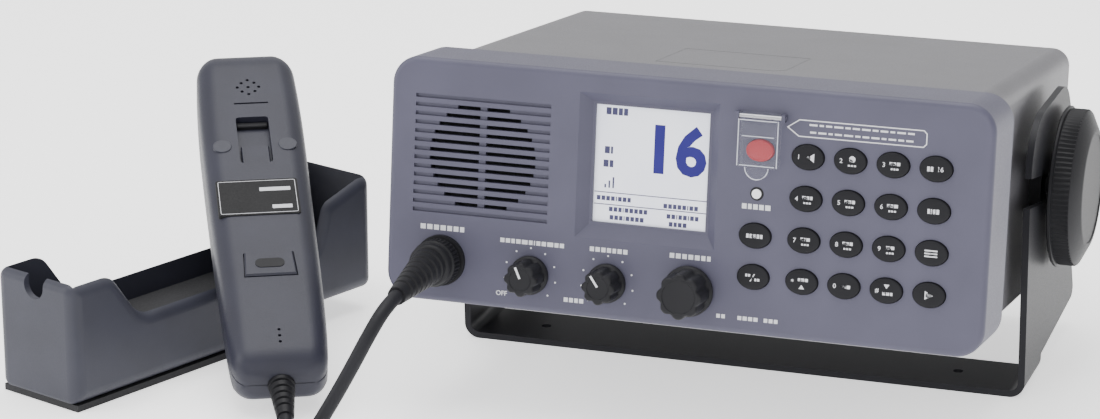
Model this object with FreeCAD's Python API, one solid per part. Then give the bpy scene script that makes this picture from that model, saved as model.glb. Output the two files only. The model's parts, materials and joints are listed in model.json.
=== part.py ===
import FreeCAD, Part
import math
import os

V = FreeCAD.Vector

# Marine VHF radio in a U bracket, with its handset, cradle and cord.
# Millimetres. X right, Y back, Z up. The origin is the middle of the bracket's
# base strip, on the table. The radio is drawn level about its pivot axis, with
# the panel's face towards -Y, and then tipped back into its bracket.

# Bracket
case_half_w = 121.4
arm_clearance = 6.2
sheet = 3.0
arm_outer_x = case_half_w + arm_clearance + sheet
base_depth = 36.0
base_hole_x = arm_outer_x - 33.6
base_hole_r = 2.3
bend_r = 7.0
pivot_y = 34.0
pivot_z = 83.0
slot_width = 13.0
slot_slope = 12.0
arm_top_z = 125.0
arm_rear_y = 93.0
arm_rear_z = 14.0

# Radio, measured from its pivot axis
tilt = 7.0
panel_overhang = 9.8
panel_w = 2 * (case_half_w + panel_overhang)
panel_bottom = -50.5
panel_h = 105.5
panel_corner_r = 12.0
panel_depth = 36.0
panel_wall = 3.0
panel_edge_r = 2.5
face_y = -144.0
case_top = 52.0
case_bottom = -47.5
case_back = 69.5
case_sheet = 1.5
case_bend_r = 8.0
case_lap = 14.0
back_plate_t = 3.0
fin_depth = 9.0
fin_t = 2.0
fin_pitch = 9.0
boss_r = 13.0
boss_depth = 9.0
front_screw_in = 22.0
rear_screw_in = 17.0
screw_up = 8.0
screw_head_r = 3.2
screw_r = 1.5
rear_socket_x = -(case_half_w - 41.4)
antenna_up = 30.0
power_up = 66.0

# Clamp knobs
stud_r = 4.0
stud_len = 24.0
run_gap = 0.05
hub_r = 14.0
hub_t = 2.4
arm_gap = 0.8
flange_r = 36.0
flange_t = 1.8
grip_r = 35.0
grip_t = 8.0
grip_chamfer = 4.0
grip_face_r = 26.0

# Display
screen_w = 50.1
screen_h = 50.4
screen_x = -15.2
screen_z = 15.8
recess_w = 61.5
recess_h = 62.2
recess_x = -15.7
recess_z = 15.0
recess_depth = 3.6
frame_back = 6.5
window_t = 1.5
window_margin = 2.0
module_t = 9.0

# Speaker
grille_w = 60.9
grille_h = 53.2
grille_x = -89.4
grille_z = 13.9
groove_count = 14
groove_w = 1.7
groove_depth = 1.2
sound_r = 24.0
rib_w = 3.0
speaker_r = 27.0
magnet_r = 16.0
speaker_depth = 22.0

# Keys
key_cols = 4
key_rows = 4
key_x0 = 53.5
key_z0 = 27.1
key_pitch_x = 18.0
key_pitch_z = 17.5
left_key_x = 32.6
key_half_w = 6.9
key_half_h = 5.3
key_proud = 1.6
key_gap = 0.25
key_flange = 1.0
key_flange_t = 1.0
key_travel = 1.0
mat_t = 1.5
board_t = 1.6

# Distress key and its cover
distress_x = 33.1
distress_z = 28.2
distress_half_w = 5.9
distress_half_h = 4.6
distress_proud = 2.2
distress_travel = 1.5
cover_w = 17.4
cover_top = 44.5
cover_bottom = 21.4
cover_lip = 5.3
cover_deep = 5.6
cover_wall = 1.2
cover_gap = 0.4
hinge_r = 0.9
hinge_y = 2.2
hinge_drop = 2.0
ear_w = 1.6

# Lamp, socket and the three knobs along the bottom
lamp_x = 32.4
lamp_z = 9.8
lamp_r = 2.0
socket_x = -106.1
socket_z = -32.0
socket_flange_r = 11.0
socket_flange_t = 2.0
socket_body_r = 8.0
socket_depth = 16.0
volume_x = -65.6
squelch_x = -31.1
small_knob_z = -34.5
small_knob_r = 8.4
small_knob_len = 13.0
channel_x = 5.3
channel_z = -33.9
channel_knob_r = 10.8
channel_knob_len = 15.0
knob_gap = 0.6
push_travel = 1.2
spindle_r = 3.0
spindle_gap = 0.03
bush_r = 4.5
pot_r = 8.5
pot_depth = 11.0
flute_count = 8

# Plug and cord
plug_r = 10.0
plug_len = 14.0
relief_r = 8.0
relief_tip_r = 4.2
relief_len = 37.0
cord_r = 3.0
coil_x = -190.0
coil_y = -257.0
coil_mid_r = 33.0
coil_turns_wide = 3
coil_layers = 2

# Cradle
cradle_x = -243.6
cradle_y = -70.9
cradle_yaw = 21.0
cradle_len = 190.0
cradle_w = 50.0
cradle_wall = 3.0
cradle_floor_z = 22.0
cradle_end_h = 57.5
cradle_end_len = 25.0
cradle_rim_h = 35.4
pocket_h = 65.0
pocket_len = 38.0
pocket_under = 10.0
notch_r = 6.0
pad_t = 3.0

# Handset
handset_foot = (-169.0, -143.0, 15.0)
handset_lean = 24.7
handset_yaw = -27.8
handset_wall = 2.5
seam = 0.0
talk_s = 62.0
talk_w = 22.0
talk_h = 15.0
talk_proud = 1.4
talk_travel = 1.2
capsule_r = 12.0
capsule_t = 6.0
earpiece_s = 183.0
microphone_s = 21.0
foot_relief_len = 20.0
foot_relief_r = 6.0
foot_relief_tip_r = 3.8

# The handset's cross sections, foot to top: place along it, width,
# height of the inner face, depth of the back, corner radius.
handset_sections = [
    (0.0, 34.0, 7.0, 9.0, 6.0),
    (9.0, 42.0, 12.5, 13.7, 8.0),
    (40.0, 45.0, 14.0, 15.0, 9.0),
    (98.0, 47.0, 12.5, 19.0, 9.0),
    (158.0, 48.0, 13.5, 19.5, 9.0),
    (200.0, 46.0, 14.0, 16.0, 9.0),
    (215.0, 36.0, 8.0, 8.0, 6.0),
]

face_in = face_y + panel_wall
panel_back = face_y + panel_depth
arm_inner_x = arm_outer_x - sheet


# Helpers

def box(x0, x1, y0, y1, z0, z1):
    return Part.makeBox(x1 - x0, y1 - y0, z1 - z0, V(x0, y0, z0))


def cyl(r, start, direction, length):
    return Part.makeCylinder(r, length, V(*start), V(*direction))


def cone(r0, r1, start, direction, length):
    return Part.makeCone(r0, r1, length, V(*start), V(*direction))


def round_outline(corners, place):
    """Closed wire through (a, b, radius) corners, each rounded with a tangent arc."""
    count = len(corners)
    edges = []
    last = None
    first = None
    for i in range(count):
        a, b, r = corners[i]
        here = V(a, b, 0)
        back = V(corners[i - 1][0], corners[i - 1][1], 0) - here
        ahead = V(corners[(i + 1) % count][0], corners[(i + 1) % count][1], 0) - here
        back.normalize()
        ahead.normalize()
        half = back.getAngle(ahead) / 2
        if r > 0:
            cut = r / math.tan(half)
            start = here + back * cut
            end = here + ahead * cut
            inward = (back + ahead).normalize()
            middle = here + inward * (r / math.sin(half) - r)
            arc = Part.Arc(place(start), place(middle), place(end)).toShape()
        else:
            start = here
            end = here
            arc = None
        if last is not None:
            edges.append(Part.LineSegment(place(last), place(start)).toShape())
        else:
            first = start
        if arc is not None:
            edges.append(arc)
        last = end
    edges.append(Part.LineSegment(place(last), place(first)).toShape())
    return Part.Wire(edges)


def slab_xz(corners, y0, y1):
    """Rounded outline in X and Z, from y0 to y1."""
    wire = round_outline(corners, lambda p: V(p.x, y0, p.y))
    return Part.Face(wire).extrude(V(0, y1 - y0, 0))


def slab_yz(corners, x0, x1):
    """Rounded outline in Y and Z, from x0 to x1."""
    wire = round_outline(corners, lambda p: V(x0, p.x, p.y))
    return Part.Face(wire).extrude(V(x1 - x0, 0, 0))


def round_rect(cx, cz, w, h, r):
    return [(cx - w / 2, cz - h / 2, r), (cx + w / 2, cz - h / 2, r),
            (cx + w / 2, cz + h / 2, r), (cx - w / 2, cz + h / 2, r)]


def oval(cx, cz, half_w, half_h, y0, y1):
    """Upright ellipse from y0 back to y1."""
    ellipse = Part.Ellipse(V(cx + half_w, y0, cz), V(cx, y0, cz + half_h), V(cx, y0, cz))
    return Part.Face(Part.Wire([ellipse.toShape()])).extrude(V(0, y1 - y0, 0))


def join(shapes):
    whole = shapes[0]
    for shape in shapes[1:]:
        whole = whole.fuse(shape)
    return whole.removeSplitter()


def tip_back(shape):
    """From the radio's level frame into its place in the bracket."""
    placed = shape.copy()
    placed.rotate(V(0, 0, 0), V(1, 0, 0), -tilt)
    placed.translate(V(0, pivot_y, pivot_z))
    return placed


# Bracket: a base strip with two wide arms, each with a slot open to the front

def bracket():
    strip_front = -base_depth / 2
    strip_back = base_depth / 2
    outline = [(-arm_outer_x, arm_top_z, 0), (-arm_outer_x, 0, bend_r), (arm_outer_x, 0, bend_r),
               (arm_outer_x, arm_top_z, 0), (arm_inner_x, arm_top_z, 0),
               (arm_inner_x, sheet, bend_r - sheet), (-arm_inner_x, sheet, bend_r - sheet),
               (-arm_inner_x, arm_top_z, 0)]
    channel = slab_xz(outline, strip_front - 6, arm_rear_y + 4)
    profile = [(strip_front, -1, 0), (strip_back, -1, 0), (strip_back, arm_rear_z - 5, 1),
               (arm_rear_y, arm_rear_z, 4), (arm_rear_y - 10, arm_rear_z + 22, 12),
               (pivot_y + 44, arm_top_z - 30, 20), (pivot_y + 22, arm_top_z, 22),
               (strip_front - 2, arm_top_z, 24), (strip_front - 4, pivot_z + 4, 0)]
    cut = slab_yz(profile, -arm_outer_x - 1, arm_outer_x + 1)
    body = channel.common(cut)
    slot = box(-arm_outer_x - 1, arm_outer_x + 1, -80, 0, -slot_width / 2, slot_width / 2)
    slot = slot.fuse(cyl(slot_width / 2, (-arm_outer_x - 1, 0, 0), (1, 0, 0), 2 * arm_outer_x + 2))
    slot.rotate(V(0, 0, 0), V(1, 0, 0), -slot_slope)
    slot.translate(V(0, pivot_y, pivot_z))
    body = body.cut(slot)
    for side in (-1, 1):
        body = body.cut(cyl(base_hole_r, (side * base_hole_x, 0, -1), (0, 0, 1), sheet + 2))
    return body.removeSplitter()


# Front panel: a moulded tray with the face, the display frame and the openings

def key_places():
    places = []
    for row in range(key_rows):
        for col in range(key_cols):
            places.append((key_x0 + col * key_pitch_x, key_z0 - row * key_pitch_z))
    for row in (2, 3):
        places.append((left_key_x, key_z0 - row * key_pitch_z))
    return places


def groove_heights():
    pitch = grille_h / groove_count
    return [grille_z - grille_h / 2 + pitch * (i + 0.5) for i in range(groove_count)]


def board_posts():
    top = max(z for x, z in key_places()) + 17
    low = min(z for x, z in key_places()) - 13
    right = key_x0 + (key_cols - 1) * key_pitch_x + 13
    left = left_key_x - 11
    return [(left, low), (right, low), (left, top), (right, top)]


mat_front = face_in + 0.2 + key_flange_t + key_travel + 0.3
board_front = mat_front + mat_t


def front_panel():
    mid_z = panel_bottom + panel_h / 2
    outer = slab_xz(round_rect(0, mid_z, panel_w, panel_h, panel_corner_r), face_y, panel_back)
    front = [e for e in outer.Edges if e.BoundBox.YMax < face_y + 0.01]
    outer = outer.makeFillet(panel_edge_r, front)
    inner = slab_xz(round_rect(0, mid_z, panel_w - 2 * panel_wall, panel_h - 2 * panel_wall,
                               panel_corner_r - panel_wall), face_in, panel_back + 1)
    shell = outer.cut(inner)
    adds = []
    frame_w = recess_w + 2
    adds.append(box(recess_x - frame_w / 2, recess_x + frame_w / 2, face_in - 0.5, face_y + frame_back,
                    recess_z - recess_h / 2 - 1, recess_z + recess_h / 2 + 1))
    for x, z in board_posts():
        adds.append(cyl(3.0, (x, face_in - 0.5, z), (0, 1, 0), board_front - face_in + 0.5))
    shell = join([shell] + adds)
    cuts = []
    lower = Part.Wire(Part.makePolygon([
        V(recess_x - recess_w / 2, face_y - 0.01, recess_z - recess_h / 2),
        V(recess_x + recess_w / 2, face_y - 0.01, recess_z - recess_h / 2),
        V(recess_x + recess_w / 2, face_y - 0.01, recess_z + recess_h / 2),
        V(recess_x - recess_w / 2, face_y - 0.01, recess_z + recess_h / 2),
        V(recess_x - recess_w / 2, face_y - 0.01, recess_z - recess_h / 2)]).Edges)
    deep = face_y + recess_depth
    sw = screen_w / 2 + 1.2
    sh = screen_h / 2 + 1.2
    upper = Part.Wire(Part.makePolygon([
        V(screen_x - sw, deep, screen_z - sh), V(screen_x + sw, deep, screen_z - sh),
        V(screen_x + sw, deep, screen_z + sh), V(screen_x - sw, deep, screen_z + sh),
        V(screen_x - sw, deep, screen_z - sh)]).Edges)
    cuts.append(Part.makeLoft([lower, upper], True, True))
    cuts.append(box(screen_x - screen_w / 2, screen_x + screen_w / 2, face_y, face_y + frame_back + 1,
                    screen_z - screen_h / 2, screen_z + screen_h / 2))
    ww = screen_w / 2 + window_margin
    wh = screen_h / 2 + window_margin
    cuts.append(box(screen_x - ww, screen_x + ww, face_y + frame_back - window_t, face_y + frame_back + 1,
                    screen_z - wh, screen_z + wh))
    for z in groove_heights():
        cuts.append(box(grille_x - grille_w / 2, grille_x + grille_w / 2, face_y - 1,
                        face_y + groove_depth, z - groove_w / 2, z + groove_w / 2))
        rise = z - grille_z
        if abs(rise) < sound_r - 1:
            reach = math.sqrt(sound_r ** 2 - rise ** 2)
            for side in (-1, 1):
                x0, x1 = sorted((grille_x + side * rib_w / 2, grille_x + side * reach))
                cuts.append(box(x0, x1, face_y, face_in + 1, z - groove_w / 2, z + groove_w / 2))
    for x, z in key_places():
        cuts.append(oval(x, z, key_half_w + key_gap, key_half_h + key_gap, face_y - 1, face_in + 1))
    cuts.append(oval(distress_x, distress_z, distress_half_w + key_gap, distress_half_h + key_gap,
                     face_y - 1, face_in + 1))
    cuts.append(cyl(lamp_r, (lamp_x, face_y - 1, lamp_z), (0, 1, 0), panel_wall + 2))
    cuts.append(cyl(socket_body_r, (socket_x, face_y - 1, socket_z), (0, 1, 0), panel_wall + 2))
    for x, z in ((volume_x, small_knob_z), (squelch_x, small_knob_z), (channel_x, channel_z)):
        cuts.append(cyl(bush_r, (x, face_y - 1, z), (0, 1, 0), panel_wall + 2))
    for cut in cuts:
        shell = shell.cut(cut)
    ears = []
    for side in (-1, 1):
        edge = distress_x + side * (cover_w / 2 + cover_gap)
        x0, x1 = sorted((edge, edge + side * ear_w))
        ears.append(box(x0, x1, face_y - hinge_y - 1.6, face_y + 0.5,
                        cover_top - hinge_drop - 1.6, cover_top - hinge_drop + 1.6))
    shell = join([shell] + ears)
    pin = cyl(hinge_r, (distress_x - cover_w, face_y - hinge_y, cover_top - hinge_drop), (1, 0, 0),
              2 * cover_w)
    return shell.cut(pin)


def cover_hinge_pin():
    reach = cover_w / 2 + cover_gap + ear_w
    return cyl(hinge_r, (distress_x - reach, face_y - hinge_y, cover_top - hinge_drop), (1, 0, 0),
               2 * reach)


def distress_cover():
    x0 = distress_x - cover_w / 2
    x1 = distress_x + cover_w / 2
    front = face_y - cover_deep
    rear = face_y - cover_gap
    outer = box(x0, x1, front, rear, cover_bottom, cover_top)
    inner = box(x0 + cover_wall, x1 - cover_wall, front + cover_wall, rear + 1,
                cover_bottom + cover_wall, cover_top - 2 * hinge_drop - 0.6)
    lip = cyl(cover_lip, (distress_x, front, cover_bottom), (0, 1, 0), cover_wall + 0.6)
    lip = lip.common(box(x0, x1, front, rear, cover_bottom - cover_lip, cover_bottom + 0.5))
    body = join([outer.cut(inner), lip])
    pin_z = cover_top - hinge_drop
    body = body.cut(box(x0 - 1, x1 + 1, front - 1, rear + 1, pin_z, cover_top + 1))
    knuckle = cyl(hinge_y - 0.15, (x0, face_y - hinge_y, pin_z), (1, 0, 0), cover_w)
    body = join([body, knuckle])
    hole = cyl(hinge_r + run_gap, (x0 - 1, face_y - hinge_y, cover_top - hinge_drop), (1, 0, 0),
               cover_w + 2)
    return body.cut(hole)


def distress_key():
    cap = oval(distress_x, distress_z, distress_half_w, distress_half_h,
               face_y - distress_proud, face_in + 0.2)
    foot = oval(distress_x, distress_z, distress_half_w + key_flange, distress_half_h + key_flange,
                face_in + 0.2, face_in + 0.2 + key_flange_t)
    return join([cap, foot])


def key(x, z):
    cap = oval(x, z, key_half_w, key_half_h, face_y - key_proud, face_in + 0.2)
    foot = oval(x, z, key_half_w + key_flange, key_half_h + key_flange,
                face_in + 0.2, face_in + 0.2 + key_flange_t)
    return join([cap, foot])


def keypad_mat():
    posts = board_posts()
    x0 = posts[0][0] + 3.5
    x1 = posts[1][0] - 3.5
    z0 = posts[0][1] + 1
    z1 = posts[2][1] - 1
    mat = box(x0, x1, mat_front, board_front, z0, z1)
    well = distress_travel - key_travel
    return mat.cut(oval(distress_x, distress_z, distress_half_w + 2, distress_half_h + 2,
                        mat_front - 1, mat_front + well))


def control_board():
    posts = board_posts()
    x0 = posts[0][0] - 3.5
    x1 = posts[1][0] + 3.5
    return box(x0, x1, board_front, board_front + board_t, posts[0][1] - 3, posts[2][1] + 3)


def alarm_lamp():
    lens = cyl(lamp_r, (lamp_x, face_y - 0.8, lamp_z), (0, 1, 0), panel_wall + 0.8)
    foot = cyl(lamp_r + 1, (lamp_x, face_in, lamp_z), (0, 1, 0), mat_front - face_in)
    return join([lens, foot])


# Display, speaker and the controls behind the panel

def display_window():
    ww = screen_w / 2 + window_margin
    wh = screen_h / 2 + window_margin
    back = face_y + frame_back
    return box(screen_x - ww, screen_x + ww, back - window_t, back, screen_z - wh, screen_z + wh)


def display_module():
    half = recess_w / 2 - 1
    back = face_y + frame_back
    return box(recess_x - half, recess_x + half, back, back + module_t, recess_z - half, recess_z + half)


def speaker():
    ring = cyl(speaker_r, (grille_x, face_in, grille_z), (0, 1, 0), 3)
    ring = ring.cut(cyl(sound_r, (grille_x, face_in - 1, grille_z), (0, 1, 0), 5))
    basket = cone(speaker_r, magnet_r, (grille_x, face_in + 3, grille_z), (0, 1, 0), 9)
    hollow = cone(speaker_r - 2, magnet_r - 2, (grille_x, face_in + 2.9, grille_z), (0, 1, 0), 9.2)
    magnet = cyl(magnet_r, (grille_x, face_in + 12, grille_z), (0, 1, 0), speaker_depth - 12)
    frame = join([ring, basket.cut(hollow), magnet])
    cone_part = cone(sound_r - 0.5, 7, (grille_x, face_in + 2, grille_z), (0, 1, 0), 8)
    cone_part = cone_part.cut(cone(sound_r - 1.5, 6, (grille_x, face_in + 1.9, grille_z), (0, 1, 0), 7.5))
    dust_cap = cyl(7, (grille_x, face_in + 9.9, grille_z), (0, 1, 0), 2.1)
    return Part.Compound([frame, join([cone_part, dust_cap])])


def control(x, z):
    """A bushed control: its body behind the face, its bush through it."""
    can = cyl(pot_r, (x, face_in, z), (0, 1, 0), pot_depth)
    bush = cyl(bush_r, (x, face_y - 0.2, z), (0, 1, 0), panel_wall + 0.7)
    bore = cyl(spindle_r + spindle_gap, (x, face_y - 1, z), (0, 1, 0), panel_wall + pot_depth - 2)
    return join([can, bush]).cut(bore)


def spindle(x, z, knob_len):
    return cyl(spindle_r, (x, face_y - knob_len + 3, z), (0, 1, 0), knob_len + panel_wall + 2)


def fluted_knob(x, z, r, length, waist):
    """Round skirt with a fluted grip in front of it."""
    front = face_y - knob_gap - length
    grip = cyl(r - 0.4, (x, front, z), (0, 1, 0), length - 2.0)
    for i in range(flute_count):
        angle = 2 * math.pi * (i + 0.5) / flute_count
        out = r + waist
        grip = grip.cut(cyl(waist + 1.3, (x + out * math.cos(angle), front - 1, z + out * math.sin(angle)),
                            (0, 1, 0), length - 1.5))
    skirt = cyl(r, (x, face_y - knob_gap - 2.5, z), (0, 1, 0), 2.5)
    return join([grip, skirt])


def turning_knob(x, z, r, length, waist):
    """Knob and its spindle, which turn together."""
    rod = spindle(x, z, length)
    return join([fluted_knob(x, z, r, length, waist), rod])


def channel_knob():
    knob = fluted_knob(channel_x, channel_z, channel_knob_r, channel_knob_len, 3.2)
    lift = push_travel
    knob.translate(V(0, -lift, 0))
    bore = cyl(spindle_r + spindle_gap, (channel_x, face_y - channel_knob_len + 1, channel_z), (0, 1, 0),
               channel_knob_len + 2)
    return knob.cut(bore)


def channel_rotor():
    start = face_y - channel_knob_len + 1 + push_travel + 0.3
    return cyl(spindle_r, (channel_x, start, channel_z), (0, 1, 0), face_in + 2 - start)


def handset_socket():
    flange = cyl(socket_flange_r, (socket_x, face_y - socket_flange_t, socket_z), (0, 1, 0), socket_flange_t)
    body = cyl(socket_body_r, (socket_x, face_y - 0.5, socket_z), (0, 1, 0), socket_depth)
    return join([flange, body])


# Case: cover, tray, back plate with fins, boards and sockets

def case_outline(grow):
    return [(-case_half_w - grow, case_bottom, 0), (case_half_w + grow, case_bottom, 0),
            (case_half_w + grow, case_top + grow, case_bend_r + grow),
            (-case_half_w - grow, case_top + grow, case_bend_r + grow)]


case_front = panel_back - case_lap


def case_cover():
    outer = slab_xz(case_outline(0), case_front, case_back)
    inner = slab_xz(case_outline(-case_sheet), case_front - 1, case_back + 1)
    drop = box(-case_half_w - 1, case_half_w + 1, case_front - 1, case_back + 1,
               case_bottom - 1, case_bottom + case_sheet)
    return outer.cut(inner).cut(drop)


def case_tray():
    half = case_half_w - case_sheet
    floor = box(-case_half_w, case_half_w, case_front, case_back, case_bottom, case_bottom + case_sheet)
    sides = [box(-half, -half + case_sheet, case_front, case_back, case_bottom, case_bottom + 14),
             box(half - case_sheet, half, case_front, case_back, case_bottom, case_bottom + 14)]
    return join([floor] + sides)


plate_back = case_back - fin_depth


def rear_heatsink():
    half = case_half_w - 2 * case_sheet
    low = case_bottom + case_sheet
    high = case_top - case_sheet
    plate = slab_xz([(-half, low, 0), (half, low, 0), (half, high, case_bend_r - case_sheet),
                     (-half, high, case_bend_r - case_sheet)], plate_back - back_plate_t, plate_back)
    fins = []
    count = int(half / fin_pitch)
    for i in range(-count, count + 1):
        x = i * fin_pitch
        if x > -62:
            fins.append(box(x - fin_t / 2, x + fin_t / 2, plate_back - 0.5, case_back - 0.5, low + 6, high - 6))
    return join([plate] + fins)


def main_board():
    half = case_half_w - 2 * case_sheet - 8
    low = case_bottom + case_sheet
    board = box(-half, half, case_front + 24, plate_back - back_plate_t - 6, low + 8, low + 8 + board_t)
    posts = []
    for side_x in (-1, 1):
        for y in (case_front + 32, plate_back - back_plate_t - 14):
            posts.append(cyl(3, (side_x * (half - 8), y, low), (0, 0, 1), 8.2))
    power_stage = box(-30, 50, plate_back - back_plate_t - 26, plate_back - back_plate_t,
                      low + 8 + board_t - 0.2, low + 34)
    return join([board, power_stage] + posts)


def antenna_socket():
    z = case_bottom + antenna_up
    x = rear_socket_x
    flange = box(x - 12, x + 12, plate_back, plate_back + 2, z - 12, z + 12)
    barrel = cyl(8, (x, plate_back + 1.5, z), (0, 1, 0), 15)
    bore = cyl(1.9, (x, plate_back + 6, z), (0, 1, 0), 12)
    return join([flange, barrel]).cut(bore)


def power_socket():
    z = case_bottom + power_up
    x = rear_socket_x - 2
    shell = box(x - 14, x + 14, plate_back, plate_back + 11, z - 8, z + 8)
    return shell.cut(box(x - 12, x + 12, plate_back + 3, plate_back + 12, z - 6, z + 6))


def screw_places():
    """Side, depth and height of the four screws that hold cover and tray."""
    return [(side, y, case_bottom + screw_up) for side in (-1, 1)
            for y in (case_front + front_screw_in, case_back - rear_screw_in)]


def case_screws():
    screws = []
    for side, y, z in screw_places():
        head = cyl(screw_head_r, (side * case_half_w, y, z), (side, 0, 0), 1.6)
        shank = cyl(screw_r, (side * (case_half_w + 0.5), y, z), (-side, 0, 0), 3 * case_sheet)
        screws.append(join([head, shank]))
    return Part.Compound(screws)


def screw_holes(shape):
    for side, y, z in screw_places():
        shape = shape.cut(cyl(screw_r, (side * (case_half_w + 1), y, z), (-side, 0, 0), 3 * case_sheet + 2))
    return shape


def clamp_bosses():
    """Threaded bosses on the case sides, which the clamp studs screw into."""
    start = case_half_w - case_sheet - boss_depth
    bosses = []
    for side in (-1, 1):
        outside = cyl(boss_r, (side * case_half_w, 0, 0), (side, 0, 0), arm_inner_x - arm_gap - case_half_w)
        inside = cyl(boss_r - 4, (side * start, 0, 0), (side, 0, 0), case_half_w - start + 1)
        boss = join([outside, inside])
        bosses.append(boss.cut(cyl(stud_r + run_gap, (side * (start - 1), 0, 0), (side, 0, 0), 40)))
    return Part.Compound(bosses)


def boss_holes(shape):
    for side in (-1, 1):
        shape = shape.cut(cyl(boss_r - 4, (side * (case_half_w - 30), 0, 0), (side, 0, 0), 40))
    return shape


def clamp_knob(side):
    hub_x = arm_outer_x + arm_gap
    hub = cyl(hub_r, (side * hub_x, 0, 0), (side, 0, 0), hub_t + 0.5)
    flange_x = hub_x + hub_t
    flange = cyl(flange_r, (side * flange_x, 0, 0), (side, 0, 0), flange_t)
    grip_x = flange_x + flange_t - 0.2
    grip = cyl(grip_r, (side * grip_x, 0, 0), (side, 0, 0), grip_t + 0.2)
    face = cone(grip_r, grip_face_r, (side * (grip_x + grip_t + 0.2), 0, 0), (side, 0, 0), grip_chamfer)
    stud = cyl(stud_r, (side * (hub_x + 1), 0, 0), (-side, 0, 0), stud_len)
    return join([hub, flange, grip, face, stud])


# Cradle: an end box with a cord notch, an open tray and a pocket for the earpiece end

def turn_cradle(shape):
    placed = shape.copy()
    placed.rotate(V(0, 0, 0), V(0, 0, 1), -cradle_yaw)
    placed.translate(V(cradle_x, cradle_y, 0))
    return placed


def cradle_shell():
    half = cradle_len / 2
    pocket_front = half - pocket_len
    rim = [(-half, pad_t, 2), (half - pocket_len - 40, pad_t, 20), (half - pocket_len, pocket_under, 20),
           (half, pocket_under, 4), (half, pocket_h, 4), (half - 8, pocket_h, 3),
           (pocket_front + 6, pocket_h - 7, 8), (pocket_front - 2, cradle_rim_h, 8),
           (-half + cradle_end_len + 16, cradle_rim_h, 12), (-half + cradle_end_len, cradle_end_h, 12),
           (-half, cradle_end_h, 4)]
    outer = slab_yz(rim, -cradle_w / 2, cradle_w / 2)
    upright = [e for e in outer.Edges
               if abs(e.BoundBox.ZLength - e.Length) < 1e-4 and e.BoundBox.YLength < 1e-4 and e.Length > 20]
    outer = outer.makeFillet(6.0, upright)
    w = cradle_w / 2 - cradle_wall
    cavity = box(-w, w, -half + cradle_wall, half - cradle_wall, cradle_floor_z, pocket_h + 5)
    body = outer.cut(cavity)
    notch = cyl(notch_r, (0, -half - 1, cradle_end_h - 4), (0, 1, 0), cradle_wall + 3)
    notch = notch.fuse(box(-notch_r, notch_r, -half - 1, -half + cradle_wall + 2,
                           cradle_end_h - 4, cradle_end_h + 5))
    body = body.cut(notch)
    return turn_cradle(body)


def cradle_foot():
    half = cradle_len / 2
    foot = box(-cradle_w / 2 + 1.5, cradle_w / 2 - 1.5, -half + 1.5, half - pocket_len - 46, 0, pad_t)
    return turn_cradle(foot)


def cradle_pad():
    half = cradle_len / 2
    w = cradle_w / 2 - cradle_wall - 3
    pad = box(-w, w, -half + cradle_end_len + 6, half - pocket_len - 8, cradle_floor_z, cradle_floor_z + 2)
    return turn_cradle(pad)


# Handset: two lofted shells around the capsules, with the talk button in the inner one

def handset_place(shape):
    """From the handset's own frame (X across, Y along, Z out of the inner face)."""
    placed = shape.copy()
    placed.rotate(V(0, 0, 0), V(1, 0, 0), handset_lean)
    placed.rotate(V(0, 0, 0), V(0, 0, 1), -handset_yaw)
    placed.translate(V(*handset_foot))
    return placed


def section_wire(s, w, top, under, r, shrink):
    half = w / 2 - shrink
    high = top - shrink
    low = -under + shrink
    corner = r - shrink
    corners = [(-half, low, corner), (half, low, corner), (half, high, corner), (-half, high, corner)]
    return round_outline(corners, lambda p: V(p.x, s, p.y))


def handset_body(shrink):
    wires = []
    last = len(handset_sections) - 1
    for i, (s, w, top, under, r) in enumerate(handset_sections):
        place = s
        if i == 0:
            place = s + shrink
        if i == last:
            place = s - shrink
        wires.append(section_wire(place, w, top, under, r, shrink))
    return Part.makeLoft(wires, True, False)


def handset_half(upper):
    shell = handset_body(0).cut(handset_body(handset_wall))
    z0, z1 = (seam, 60) if upper else (-60, seam)
    shell = shell.common(box(-60, 60, -10, 240, z0, z1))
    return shell


def handset_inner_shell():
    shell = handset_half(True)
    shell = shell.cut(box(-talk_w / 2 - 0.3, talk_w / 2 + 0.3, talk_s - talk_h / 2 - 0.3,
                          talk_s + talk_h / 2 + 0.3, 0, 40))
    for dx, ds in ((0, 0), (-5, 0), (5, 0), (0, 5), (0, -5), (-3, 3), (3, 3), (-3, -3), (3, -3)):
        shell = shell.cut(cyl(0.8, (dx, earpiece_s + ds, 2), (0, 0, 1), 30))
    for dx in (-4, 0, 4):
        shell = shell.cut(cyl(0.8, (dx, microphone_s, 2), (0, 0, 1), 30))
    return handset_place(shell)


def handset_outer_shell():
    return handset_place(handset_half(False))


def talk_button():
    top = 13.4 + talk_proud
    cap = box(-talk_w / 2, talk_w / 2, talk_s - talk_h / 2, talk_s + talk_h / 2, 6.0, top)
    foot = box(-talk_w / 2 - 2, talk_w / 2 + 2, talk_s - talk_h / 2 - 2, talk_s + talk_h / 2 + 2, 5.0, 6.5)
    return handset_place(join([cap, foot]))


def capsule(s, under):
    disc = cyl(capsule_r, (0, s, under), (0, 0, 1), capsule_t)
    return handset_place(disc)


def foot_strain_relief():
    cone_part = cone(foot_relief_r, foot_relief_tip_r, (0, 0, 0), (0, -1, 0), foot_relief_len)
    return handset_place(cone_part)


# Plug and cord

def handset_plug():
    front = face_y - socket_flange_t
    ring = cyl(plug_r, (socket_x, front - plug_len, socket_z), (0, 1, 0), plug_len)
    for i in range(3):
        y = front - 4 - 3 * i
        groove = cyl(plug_r + 1, (socket_x, y, socket_z), (0, 1, 0), 1.2)
        groove = groove.cut(cyl(plug_r - 0.7, (socket_x, y - 1, socket_z), (0, 1, 0), 4))
        ring = ring.cut(groove)
    return ring


relief_neck = 3.0
relief_way = V(0, -1, -0.06).normalize()


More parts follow.
